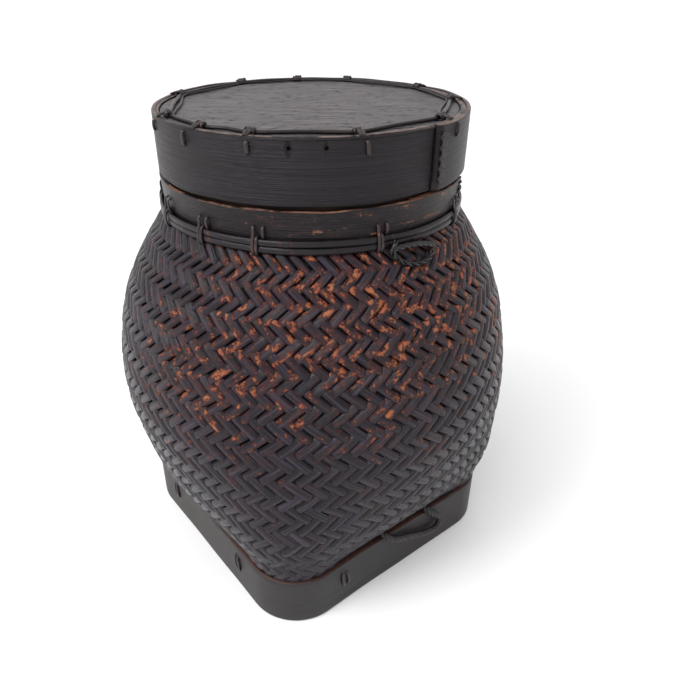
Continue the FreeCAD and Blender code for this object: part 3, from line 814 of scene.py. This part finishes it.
def strip_section(thickness, tall, rounding):
    """Outline of a strip on edge: inset share, height share and how worn each point is; the same value
    darkens the flat faces, the inner one most, with painted shade.
    """
    corner, inset = rounding / tall, rounding / thickness
    arc = np.linspace(0.0, 0.5 * math.pi, 5)
    near, far = 1.0 - np.cos(arc), 1.0 - np.sin(arc)
    flat = np.linspace(corner, 1.0 - corner, 8)
    parts = [(0.0 * flat, flat, 0.55),
             (inset * near[1:], 1.0 - corner * far[1:], 1.0 - 0.15 * far[1:]),
             (1.0 - inset * far, 1.0 - corner * near, 0.7 + 0.25 * far),
             (1.0 + 0.0 * flat[1:], 1.0 - flat[1:], 0.45),
             (1.0 - inset * near[1:], corner * far[1:], 0.7),
             (inset * far[:-1], corner * near[:-1], 0.85)]
    return np.vstack([np.stack(np.broadcast_arrays(*part), -1) for part in parts])


def add_strip(bundle, outer_low, outer_high, normals, low, high, thickness, rounding, closed,
              low_wave=0.0, high_wave=0.0, face_wave=0.0):
    """A flat strip standing on edge along an outline."""
    inset, share, worn = strip_section(thickness, high - low, rounding).T
    inset = inset * thickness
    steps, around = len(outer_low), len(inset)
    outline = outer_low[:, None] + (outer_high - outer_low)[:, None] * share[None, :, None]
    bow = face_wave * ripple(np.linspace(0, TURN, steps), 91, (3, 5, 8, 13))
    flat = outline - normals[:, None] * (inset - bow[:, None])[..., None]
    base = low + np.broadcast_to(low_wave, steps)[:, None]
    crest = high + np.broadcast_to(high_wave, steps)[:, None]
    z = base + (crest - base) * share
    points = np.concatenate([flat, z[..., None]], -1)
    grain = np.empty(points.shape)
    grain[..., 0] = distances(outer_low)[:, None] * 0.35
    grain[..., 1] = (z - low) * 150.0
    grain[..., 2] = 0.3 + inset * 20.0
    bundle.add(points, grid_quads(steps, around, closed), grain, worn,
               [] if closed else end_caps(steps, around))


class BASKET_OT_foot(bpy.types.Operator):
    """Bend the square foot's strip and tie it to the ledge inside"""

    bl_idname = "basket.foot"
    bl_label = "Foot"

    def execute(self, context):
        self.make_frame()
        self.make_stitches()
        self.make_seam()
        set_finish(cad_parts["base_ledge"], "Inside Wood")
        return {"FINISHED"}

    def make_frame(self):
        """The strip round the foot; its lap is shown by the seam's stitches alone."""
        steps = 420
        outline, normals = (line[:-1] for line in foot_outline(FOOT_HIGH.x, FOOT_CORNER, steps))
        crest = 0.35 * MM * ripple(np.linspace(0, TURN, steps)[:-1], 12, (5, 9, 17, 31)) - 0.2 * MM
        bundle = Bundle()
        add_strip(bundle, outline, outline, normals, FOOT_LOW.z, FOOT_HIGH.z, FOOT_THICK, FOOT_EDGE, True,
                  high_wave=crest, face_wave=0.25 * MM)
        make_piece(bundle, "foot_frame", "Foot Lacquer", "basket", ["base_frame"])

    def make_stitches(self):
        """Short slanted ties of two strands each."""
        bundle = Bundle()
        section = round_section(2.8 * MM, 1.5 * MM, 10)
        rng = np.random.default_rng(29)
        for side, offset in FOOT_STITCHES:
            for strand in (-1.0, 1.0):
                half = 7.6 + rng.uniform(-1.0, 0.6)
                bow = strand * rng.uniform(1.9, 3.0)
                path = bent([(-3.0, 0.3 * bow, half), (0.5, 0.5 * bow, half + 0.3),
                             (1.1, bow, 0.5 * half), (1.2, bow, -0.5 * half),
                             (0.5, 0.5 * bow, -half - 0.3), (-3.0, 0.3 * bow, -half)])
                path[:, 1] -= path[:, 2] * math.sin(FOOT_STITCH_LEAN)
                path += (FOOT_HIGH.x, offset * MM, FOOT_STITCH_LEVEL)
                add_tie(bundle, path, section, rng.uniform(), side)
        make_piece(bundle, "foot_stitches", "Rattan Tie", "basket", ["base_stitches"])

    def make_seam(self):
        """Flat stitches across the foot's lap seam."""
        bundle = Bundle()
        section = round_section(3.2 * MM, 1.3 * MM, 10, 0.8)
        for number, level in enumerate(FOOT_SEAM_LEVELS):
            path = bent([(13.0, -1.5, 0.4), (13.6, 0.5, 0.3), (18.0, 0.8, 0.0), (22.5, 0.5, -0.3),
                         (23.0, -1.5, -0.4)], 0.6 * MM)
            path += (0.0, FOOT_HIGH.y, level * MM)
            add_tie(bundle, path, section, 0.3 * number, outward=(0.0, 1.0, 0.0))
        make_piece(bundle, "foot_seam_ties", "Rattan Tie", "basket", ["base_seam_lacing"])


class BASKET_OT_bottom(bpy.types.Operator):
    """Plait the flat mat that closes the basket"""

    bl_idname = "basket.bottom"
    bl_label = "Woven bottom"

    def execute(self, context):
        bundle = Bundle()
        half = MAT_HIGH.x - 1.0 * MM
        pitch, corner = 8.2 * MM, 32.0 * MM
        count = int(2.0 * half / pitch)
        middle = 0.5 * (MAT_LOW.z + MAT_HIGH.z)
        section = round_section(7.4 * MM, 1.3 * MM, 12, 0.6)
        for direction in (0, 1):
            for strip in range(count):
                offset = (strip - 0.5 * (count - 1)) * pitch
                beyond = max(0.0, abs(offset) - (half - corner))
                reach = half - corner + math.sqrt(max(corner ** 2 - beyond ** 2, 0.0))
                along = np.linspace(-reach, reach, count * 8)
                weave = np.sin(math.pi * (along / pitch / 2.0 + 0.5 * strip + 0.25 + direction))
                z = middle + 0.75 * MM * np.clip(weave * 1.6, -1.0, 1.0) * (1 if direction else -1)
                flat = [along, np.full_like(along, offset)]
                if direction:
                    flat.reverse()
                sweep(bundle, np.stack([*flat, z], -1), UP, section, random=strip * 0.29 % 1.0, rub=0.6)
        make_piece(bundle, "plaited_bottom", "Woven Rattan", "basket", ["woven_bottom"])
        return {"FINISHED"}


def lap_outline(outer, thickness, seam, lap, direction, steps):
    """Outline of a strip bent into a ring with lapped ends, and its outward normals."""
    turn = np.linspace(0.0, 360.0 + lap, steps)
    angle = np.radians(seam + direction * turn)
    reach = outer - (thickness + LAP_GAP) * turn / 360.0
    normals = np.stack([np.cos(angle), np.sin(angle)], -1)
    return normals * reach[:, None], normals, angle, turn


class BASKET_OT_neck(bpy.types.Operator):
    """Bend the collar and the cane hoops at the neck"""

    bl_idname = "basket.neck"
    bl_label = "Neck"

    def execute(self, context):
        self.make_collar()
        self.make_hoops()
        set_finish(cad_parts["neck_ring"], "Inside Wood")
        return {"FINISHED"}

    def make_collar(self):
        """The strip round the neck, a little wider at the top."""
        lap = (COLLAR_THICK, COLLAR_SEAM, COLLAR_LAP, -1, 420)
        low, normals, angle, _ = lap_outline(COLLAR_FOOT_RADIUS, *lap)
        high = lap_outline(COLLAR_TOP_RADIUS, *lap)[0]
        crest = 0.45 * MM * ripple(angle, 31, (3, 7, 12, 23)) - 0.2 * MM
        bundle = Bundle()
        add_strip(bundle, low, high, normals, COLLAR_LOW.z, COLLAR_HIGH.z, COLLAR_THICK, COLLAR_EDGE, False,
                  high_wave=crest, face_wave=0.15 * MM)
        make_piece(bundle, "collar_band", "Collar Lacquer", "basket", ["collar"])

    def make_hoops(self):
        """Two half-round canes, one above the other."""
        angle = np.linspace(0.0, TURN, 360, endpoint=False)
        for name, low, high, node, seed in (("hoop_low", HOOP_LOW, HOOP_HIGH, "lower_hoop", 3),
                                            ("hoop_high", TOP_HOOP_LOW, TOP_HOOP_HIGH, "upper_hoop", 4)):
            radius = high.x - 1.25 * MM + 0.15 * MM * ripple(angle, seed)
            z = 0.5 * (low.z + high.z) + 0.25 * MM * ripple(angle, seed + 20)
            bundle = Bundle()
            sweep(bundle, circle(radius, z, angle), circle(1.0, 0.0, angle),
                  round_section(4.2 * MM, 2.6 * MM, 14, 0.9), closed=True)
            make_piece(bundle, name, "Hoop Cane", "basket", [node])


class BASKET_OT_lashings(bpy.types.Operator):
    """Tie the hoops to the collar with three strands of rattan at each place"""

    bl_idname = "basket.lashings"
    bl_label = "Lashings"

    def execute(self, context):
        bundle = Bundle()
        section = round_section(2.1 * MM, 1.3 * MM, 10)
        rng = np.random.default_rng(17)
        for angle in LASH_ANGLES:
            top = 305.0 + rng.uniform(-1.2, 1.2)
            skew = rng.uniform(-0.06, 0.06)
            upper = [(103.0, top), (106.6, top + 0.6), (107.0, top - 3.0)]
            crossing = [(108.4, 296.6), (108.9, 293.0), (108.9, 289.8), (107.6, 287.0), (103.5, 285.4)]
            routes = ((-3.0, upper + [(106.9, 299.5)] + crossing),
                      (-0.8, [(104.5, 299.0), (107.0, 298.4)] + crossing),
                      (3.0, upper + [(106.8, 300.0), (106.2, 298.0), (104.6, 296.6)]))
            for offset, route in routes:
                path = bent([(reach, offset + skew * (z - 295.0), z) for reach, z in route], 0.8 * MM)
                add_tie(bundle, path, section, rng.uniform(), angle, (1.0, 0.0, 0.25))
        make_piece(bundle, "hoop_ties", "Rattan Tie", "basket", ["hoop_lashings"])
        self.make_collar_seam()
        return {"FINISHED"}

    def make_collar_seam(self):
        """Running stitches down the collar's lap."""
        bundle = Bundle()
        add_running_stitch(bundle, COLLAR_SEAM - 2.5, COLLAR_TOP_RADIUS - 0.2 * MM, 299.0 * MM,
                           COLLAR_HIGH.z - 2.0 * MM, 3, (-1.0, 1.0))
        make_piece(bundle, "collar_seam_ties", "Rattan Tie", "basket", ["collar_seam_lacing"])


def add_running_stitch(bundle, degrees, radius, low, high, count, offsets):
    """Upright strands that go in and out of a band."""
    section = round_section(2.2 * MM, 1.3 * MM, 10, 0.85)
    for number, offset in enumerate(offsets):
        z = np.linspace(low, high, count * 12)
        wave = np.cos((z - low) / (high - low) * count * TURN + 0.5 * number)
        reach = radius + 0.75 * MM * np.clip(wave * 1.3 + 0.45, -1.2, 0.85)
        centres = np.stack([reach, np.full_like(z, offset * 1.3 * MM), z], -1)
        add_tie(bundle, centres, section, 0.31 * number, degrees, scale=end_taper(len(z)))


def add_twist(bundle, path, outward, radius, strands, pitch):
    """Strands twisted round a path like a cord."""
    path = even_path(path, radius * 0.28)
    tangent = unit(np.gradient(path, axis=0))
    across = unit(np.cross(np.broadcast_to(outward, path.shape), tangent))
    proud = np.cross(tangent, across)
    thin = radius * (0.56 if strands == 3 else 0.5)
    taper = end_taper(len(path), 5, 0.5)
    offset = (radius - thin) * taper
    for strand in range(strands):
        turn = TURN * (distances(path) / pitch + strand / strands)
        centres = path + across * (offset * np.cos(turn))[:, None] + proud * (offset * np.sin(turn))[:, None]
        away = unit(centres - path + 1e-9)
        sweep(bundle, centres, away, round_section(2.15 * thin, 1.9 * thin, 10), random=0.4 * strand % 1.0,
              scale=taper)


class BASKET_OT_loops(bpy.types.Operator):
    """Twist the hanging loops at the foot and the lugs on the shoulder"""

    bl_idname = "basket.loops"
    bl_label = "Loops and lugs"

    def execute(self, context):
        for side, degrees in (("right", 0.0), ("left", 180.0)):
            self.make_loop(side, degrees)
            self.make_lug(side, degrees)
        return {"FINISHED"}

    def make_loop(self, side, degrees):
        """A loop that hangs from the edge of the foot; its ends stay in the weave."""
        bundle = Bundle()
        path = smooth_path(np.array(LOOP_ROUTE) * MM, 16)
        add_twist(bundle, path, (1.0, 0.0, 0.0), 2.9 * MM, 3, 15.0 * MM)
        bundle.turn(degrees)
        piece = make_piece(bundle, "carry_loop_" + side, "Loop Cord", None, ["base_loop_" + side])
        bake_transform(piece)

    def make_lug(self, side, degrees):
        """A flattened eye of twisted cane under the hoops."""
        bundle = Bundle()
        for route, radius, strands in ((LUG_UPPER, 2.1, 3), (LUG_LOWER, 1.6, 2), (LUG_TIE, 2.0, 2)):
            points = []
            for y, z in route:
                reach = max(float(half_width(z * MM)) + 1.3 * (radius + 0.3) * MM, LUG_CLEAR)
                points.append((math.sqrt(reach ** 2 - (y * MM) ** 2), y * MM, z * MM))
            add_twist(bundle, smooth_path(points, 16), (0.8, 0.0, 0.6), radius * MM, strands,
                      radius * 7.0 * MM)
        bundle.turn(degrees)
        make_piece(bundle, "shoulder_eye_" + side, "Eye Cane", "basket", ["shoulder_lug_" + side])


def lid_outer(degrees):
    """Outer radius of the lid band at an angle."""
    return BAND_OUTER - (BAND_THICK + LAP_GAP) * ((degrees - LID_SEAM) % 360.0) / 360.0


def cut_holes(piece, holes):
    """Drills round holes through a piece. Each hole is a start, a direction and a radius."""
    bundle = Bundle()
    for start, direction, radius in holes:
        centres = np.array([start, start + 0.5 * direction, start + direction])
        sweep(bundle, centres, UP, round_section(2 * radius, 2 * radius, 12))
    cutter = make_piece(bundle, "drill", "Lid Lacquer", "lid")
    tool = piece.modifiers.new("Holes", "BOOLEAN")
    tool.operation = "DIFFERENCE"
    tool.solver = "EXACT"
    tool.object = cutter
    graph = bpy.context.evaluated_depsgraph_get()
    drilled = bpy.data.meshes.new_from_object(piece.evaluated_get(graph))
    piece.modifiers.clear()
    old = piece.data
    piece.data = drilled
    bpy.data.meshes.remove(old)
    bpy.data.objects.remove(cutter)
    if len(drilled.polygons) < 100:
        raise RuntimeError("drilling the lid band left no band")


class BASKET_OT_lid(bpy.types.Operator):
    """Bend the lid's band and fit its board"""

    bl_idname = "basket.lid"
    bl_label = "Lid"

    def execute(self, context):
        self.make_band()
        self.make_rim()
        self.make_board()
        set_finish(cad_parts["lid_support_ring"], "Inside Wood")
        return {"FINISHED"}

    def make_band(self):
        """The strip that makes the lid's wall, with its ends lapped and two empty holes drilled."""
        outline, normals, angle, turn = lap_outline(BAND_OUTER, BAND_THICK, LID_SEAM, LID_LAP, 1, 440)
        thinned = 2.3 * MM * smooth_step(2.4, 0.0, turn)
        outline = outline - normals * thinned[:, None]
        low_wave = 0.6 * MM * ripple(angle, 21, (2, 3, 6, 11)) - 0.7 * MM
        high_wave = 0.35 * MM * ripple(angle, 22, (3, 5, 9, 16)) - 0.3 * MM
        tail = np.clip((turn - 355.0) / 30.0, 0.0, 1.0)
        bundle = Bundle()
        add_strip(bundle, outline, outline, normals, BAND_LOW.z, BAND_HIGH.z, BAND_THICK, BAND_EDGE, False,
                  low_wave=low_wave, high_wave=high_wave - 0.4 * MM * tail, face_wave=0.12 * MM)
        band = make_piece(bundle, "lid_wall", "Lid Lacquer", "lid", ["lid_band"])
        cut_holes(band, [(polar(110.0 * MM, degrees, 350.0 * MM), polar(-14.0 * MM, degrees, 0.0), 1.25 * MM)
                         for degrees in EMPTY_HOLES])

    def make_rim(self):
        """A flat ring that closes the gap between the band and the board."""
        angle = np.linspace(0.0, TURN, 288, endpoint=False)
        inner, outer = DISC_HIGH.x + 0.2 * MM, DISC_HIGH.x + 4.6 * MM
        middle = 0.5 * (inner + outer) + 0.2 * MM * ripple(angle, 41, (3, 5, 8, 13))
        z = RIM_TOP - 0.8 * MM + 0.12 * MM * ripple(angle, 42, (4, 7, 11))
        bundle = Bundle()
        sweep(bundle, circle(middle, z, angle), UP, round_section(outer - inner, 1.6 * MM, 16, 0.45),
              closed=True)
        make_piece(bundle, "lid_rim", "Lid Lacquer", "lid", ["lid_band"])

    def make_board(self):
        """The flat round board, a little uneven."""
        rings = np.concatenate([np.linspace(0.0, 0.97, 34), [0.985, 0.994, 1.0, 1.0, 0.994, 0.985],
                                np.linspace(0.97, 0.0, 10)])
        thick = (BOARD_TOP - DISC_LOW.z) / MM
        drop = np.concatenate([np.zeros(34), [0.0, 0.12, 0.4, thick - 0.4, thick - 0.12, thick],
                               np.full(10, thick)]) * MM
        around = 144
        angle = np.linspace(0.0, TURN, around, endpoint=False)
        radius = (DISC_HIGH.x * np.maximum(rings, 0.004))[:, None]
        x, y = radius * np.cos(angle), radius * np.sin(angle)
        uneven = 0.18 * MM * np.sin(61.0 * x + 1.0) * np.cos(53.0 * y) * (drop[:, None] < 0.1 * MM)
        z = BOARD_TOP - drop[:, None] + uneven
        points = np.stack([x, y, z], -1)
        lie = math.radians(GRAIN_BEARING)
        along = x * math.cos(lie) + y * math.sin(lie)
        across = -x * math.sin(lie) + y * math.cos(lie)
        grain = np.stack([along, across * 220.0, 0.3 + 0.0 * along], -1)
        bundle = Bundle()
        bundle.add(points, grid_quads(len(rings), around, False)[:, ::-1], grain, 0.7,
                   [cap[::-1] for cap in end_caps(len(rings), around)])
        make_piece(bundle, "lid_board", "Lid Board", "lid", ["lid_disc"])


class BASKET_OT_lid_lacing(bpy.types.Operator):
    """Lay the cane round the lid's board and tie it through the band"""

    bl_idname = "basket.lid_lacing"
    bl_label = "Lid lacing"

    def execute(self, context):
        rng = np.random.default_rng(5)
        level = BOARD_TOP + 1.5 * MM
        knots = [polar(CANE_CIRCLE + rng.uniform(-0.8, 0.8) * MM, degrees, level) for degrees in KNOT_ANGLES]
        self.make_cane(knots, rng)
        self.make_knots(knots, rng)
        self.make_stitches(rng)
        self.make_seam()
        return {"FINISHED"}

    def make_cane(self, knots, rng):
        """A cane and a thinner strand beside it, almost straight from knot to knot."""
        bundle = Bundle()
        for shift, width, deep, slack in ((0.0, 2.7, 2.4, 1.2), (-2.3, 1.5, 1.3, 1.9)):
            corners = []
            for start, end in zip(knots, knots[1:] + knots[:1]):
                along = end - start
                middle = start + 0.5 * along
                bow = rng.uniform(-slack, slack) * MM
                inward = -middle / np.linalg.norm(middle[:2]) * bow
                inward[2] = rng.uniform(0.0, 0.5) * MM
                corners += [start, start + 0.16 * along, middle + inward, end - 0.16 * along]
            route = np.array(corners) + unit(np.array(corners) * (1.0, 1.0, 0.0)) * shift * MM
            route[:, 2] += (deep - 2.4) * 0.3 * MM
            route = np.vstack([route, route[:2]])
            middles = 0.5 * (route[:-1] + route[1:])
            sweep(bundle, np.vstack(rounded_runs(middles, route[1:-1], 10)), UP,
                  round_section(width * MM, deep * MM, 12), closed=True, random=0.3 + 0.1 * shift)
        make_piece(bundle, "lid_cane_ring", "Hoop Cane", "lid", ["lid_cane"])

    def make_knots(self, knots, rng):
        """About three turns of rattan round the cane, and two tails that run out to the band."""
        bundle = Bundle()
        section = round_section(2.1 * MM, 1.4 * MM, 8)
        radius = 2.3 * MM
        for number, knot in enumerate(knots):
            along = unit(knots[(number + 1) % len(knots)] - knots[number - 1])
            outward = unit(knot * (1.0, 1.0, 0.0))
            turns = rng.uniform(2.9, 3.6)
            spin = np.linspace(0.0, turns * TURN, int(turns * 18))
            travel = np.linspace(-3.0, 3.0, len(spin)) * MM
            lift = np.maximum(np.sin(spin) * radius, -1.35 * MM)
            wraps = (knot + along * travel[:, None] + outward * (np.cos(spin) * radius)[:, None]
                     + UP * lift[:, None])
            sweep(bundle, wraps, unit(wraps - knot), section, random=rng.uniform(),
                  scale=end_taper(len(wraps)))
            for shift in (-1.1, 1.1):
                route = [knot + (outward * reach + UP * rise + along * shift * spread) * MM
                         for reach, rise, spread in ((1.0, 1.9, 0.6), (3.0, 1.6, 0.9), (5.5, 0.9, 1.0),
                                                     (7.5, 0.2, 0.6))]
                sweep(bundle, even_path(smooth_path(route), 0.5 * MM), UP, section, random=rng.uniform())
        make_piece(bundle, "lid_cane_knots", "Rattan Tie", "lid", ["lid_knots"])

    def make_stitches(self, rng):
        """Short upright ties on the outside of the band."""
        bundle = Bundle()
        section = round_section(2.7 * MM, 1.6 * MM, 10)
        for degrees in TIE_ANGLES:
            top, low = 353.6 + rng.uniform(-1.2, 0.4), 346.2 + rng.uniform(-0.8, 0.6)
            lean = rng.uniform(-0.5, 0.5)
            path = bent([(-2.5, lean, top), (0.8, lean, top + 0.6), (1.1, 0.5 * lean, top - 2.0),
                         (1.1, -0.5 * lean, low + 2.0), (0.7, -lean, low - 0.6), (-2.5, -lean, low)])
            path[:, 0] += lid_outer(degrees)
            add_tie(bundle, path, section, rng.uniform(), degrees)
        make_piece(bundle, "lid_ties", "Rattan Tie", "lid", ["lid_stitches"])

    def make_seam(self):
        """Running stitches down the lid's lap seam."""
        bundle = Bundle()
        add_running_stitch(bundle, LID_SEAM + 3.0, BAND_OUTER + 0.1 * MM, BAND_LOW.z + 3.5 * MM,
                           BAND_HIGH.z - 4.5 * MM, 5, (-1.2, 0.0, 1.2))
        make_piece(bundle, "lid_seam_ties", "Rattan Tie", "lid", ["lid_seam_lacing"])


class BASKET_OT_stage(bpy.types.Operator):
    """Set the camera, the pale floor and the soft lights"""

    bl_idname = "basket.stage"
    bl_label = "Stage"

    def execute(self, context):
        scene = context.scene
        settings = scene.basket_stage
        self.make_camera(scene, settings)
        self.make_floor()
        self.make_lights(scene, settings)
        scene.view_settings.view_transform = "Standard"
        return {"FINISHED"}

    def make_camera(self, scene, settings):
        """The camera looks down at the corner of the foot."""
        data = bpy.data.cameras.new("camera")
        data.lens = settings.lens
        data.sensor_width = 36.0
        data.shift_x = 0.043
        data.shift_y = 0.0038
        data.clip_start, data.clip_end = 0.01, 50.0
        camera = bpy.data.objects.new("camera", data)
        scene.collection.objects.link(camera)
        camera.location = (settings.distance * math.sin(settings.azimuth),
                           -settings.distance * math.cos(settings.azimuth), settings.height)
        bearing = settings.azimuth + settings.yaw
        pitch = settings.pitch
        forward = Vector((-math.sin(bearing) * math.cos(pitch), math.cos(bearing) * math.cos(pitch),
                          -math.sin(pitch)))
        right = forward.cross(Vector((0, 0, 1))).normalized()
        up = right.cross(forward)
        across = right * math.cos(settings.roll) + up * math.sin(settings.roll)
        above = up * math.cos(settings.roll) - right * math.sin(settings.roll)
        rotation = Matrix((across, above, -forward)).transposed()
        camera.rotation_euler = rotation.to_euler()
        scene.camera = camera

    def make_floor(self):
        """A wide pale floor."""
        size = 12.0
        mesh = bpy.data.meshes.new("floor")
        mesh.from_pydata([(-size, -size, 0), (size, -size, 0), (size, size, 0), (-size, size, 0)], [],
                         [(0, 1, 2, 3)])
        floor = bpy.data.objects.new("floor", mesh)
        bpy.context.scene.collection.objects.link(floor)
        plain = bpy.data.materials.new("Pale Floor")
        plain.use_nodes = True
        shader = plain.node_tree.nodes["Principled BSDF"]
        shader.inputs["Base Color"].default_value = (0.9, 0.9, 0.9, 1.0)
        shader.inputs["Roughness"].default_value = 0.9
        mesh.materials.append(plain)

    def make_lights(self, scene, settings):
        """A soft light from the left, a near one for the sheen and even light all round."""
        world = bpy.data.worlds.new("Even light")
        world.use_nodes = True
        world.node_tree.nodes["Background"].inputs[0].default_value = (1.0, 1.0, 1.0, 1.0)
        world.node_tree.nodes["Background"].inputs[1].default_value = settings.sky
        scene.world = world
        view = settings.azimuth
        aim = Vector((0, 0, 0.18))
        soft = bpy.data.lights.new("soft sun", "SUN")
        soft.energy = settings.sun
        soft.angle = math.radians(38.0)
        key = bpy.data.lights.new("key", "AREA")
        key.size = 0.5
        key.energy = settings.key
        for data, bearing, reach, height in ((soft, view - math.radians(48), 1.0, 1.35),
                                             (key, view - math.radians(55), 0.9, 1.2)):
            light = bpy.data.objects.new(data.name, data)
            scene.collection.objects.link(light)
            place = Vector((reach * math.sin(bearing), -reach * math.cos(bearing), height))
            light.location = place
            light.rotation_euler = (aim - place).to_track_quat("-Z", "Y").to_euler()


class BASKET_PT_panel(bpy.types.Panel):
    """Buttons and settings for the basket"""

    bl_label = "Lidded basket"
    bl_idname = "BASKET_PT_panel"
    bl_space_type = "VIEW_3D"
    bl_region_type = "UI"
    bl_category = "Basket"

    def draw(self, context):
        layout = self.layout
        for name, group in SETTINGS:
            box = layout.box()
            for value in group.__annotations__:
                box.prop(getattr(context.scene, name), value)
        for operator in OPERATORS:
            layout.operator(operator.bl_idname)


OPERATORS = (BASKET_OT_materials, BASKET_OT_stage, BASKET_OT_weave, BASKET_OT_bottom, BASKET_OT_foot,
             BASKET_OT_neck, BASKET_OT_lashings, BASKET_OT_loops, BASKET_OT_lid, BASKET_OT_lid_lacing)
SETTINGS = (("basket_weave", BasketWeaveSettings), ("basket_colours", BasketColourSettings),
            ("basket_stage", BasketStageSettings))


def register():
    """Adds the settings, operators and panel."""
    for name, group in SETTINGS:
        bpy.utils.register_class(group)
        setattr(bpy.types.Scene, name, PointerProperty(type=group))
    for operator in OPERATORS:
        bpy.utils.register_class(operator)
    bpy.utils.register_class(BASKET_PT_panel)


def unregister():
    """Removes what register added."""
    bpy.utils.unregister_class(BASKET_PT_panel)
    for operator in reversed(OPERATORS):
        bpy.utils.unregister_class(operator)
    for name, group in reversed(SETTINGS):
        delattr(bpy.types.Scene, name)
        bpy.utils.unregister_class(group)


def main():
    """Makes the whole basket."""
    register()
    bpy.ops.basket.materials()
    bpy.ops.basket.stage()
    bpy.ops.basket.weave()
    bpy.ops.basket.bottom()
    bpy.ops.basket.foot()
    bpy.ops.basket.neck()
    bpy.ops.basket.lashings()
    bpy.ops.basket.loops()
    bpy.ops.basket.lid()
    bpy.ops.basket.lid_lacing()


if __name__ == "__main__":
    main()
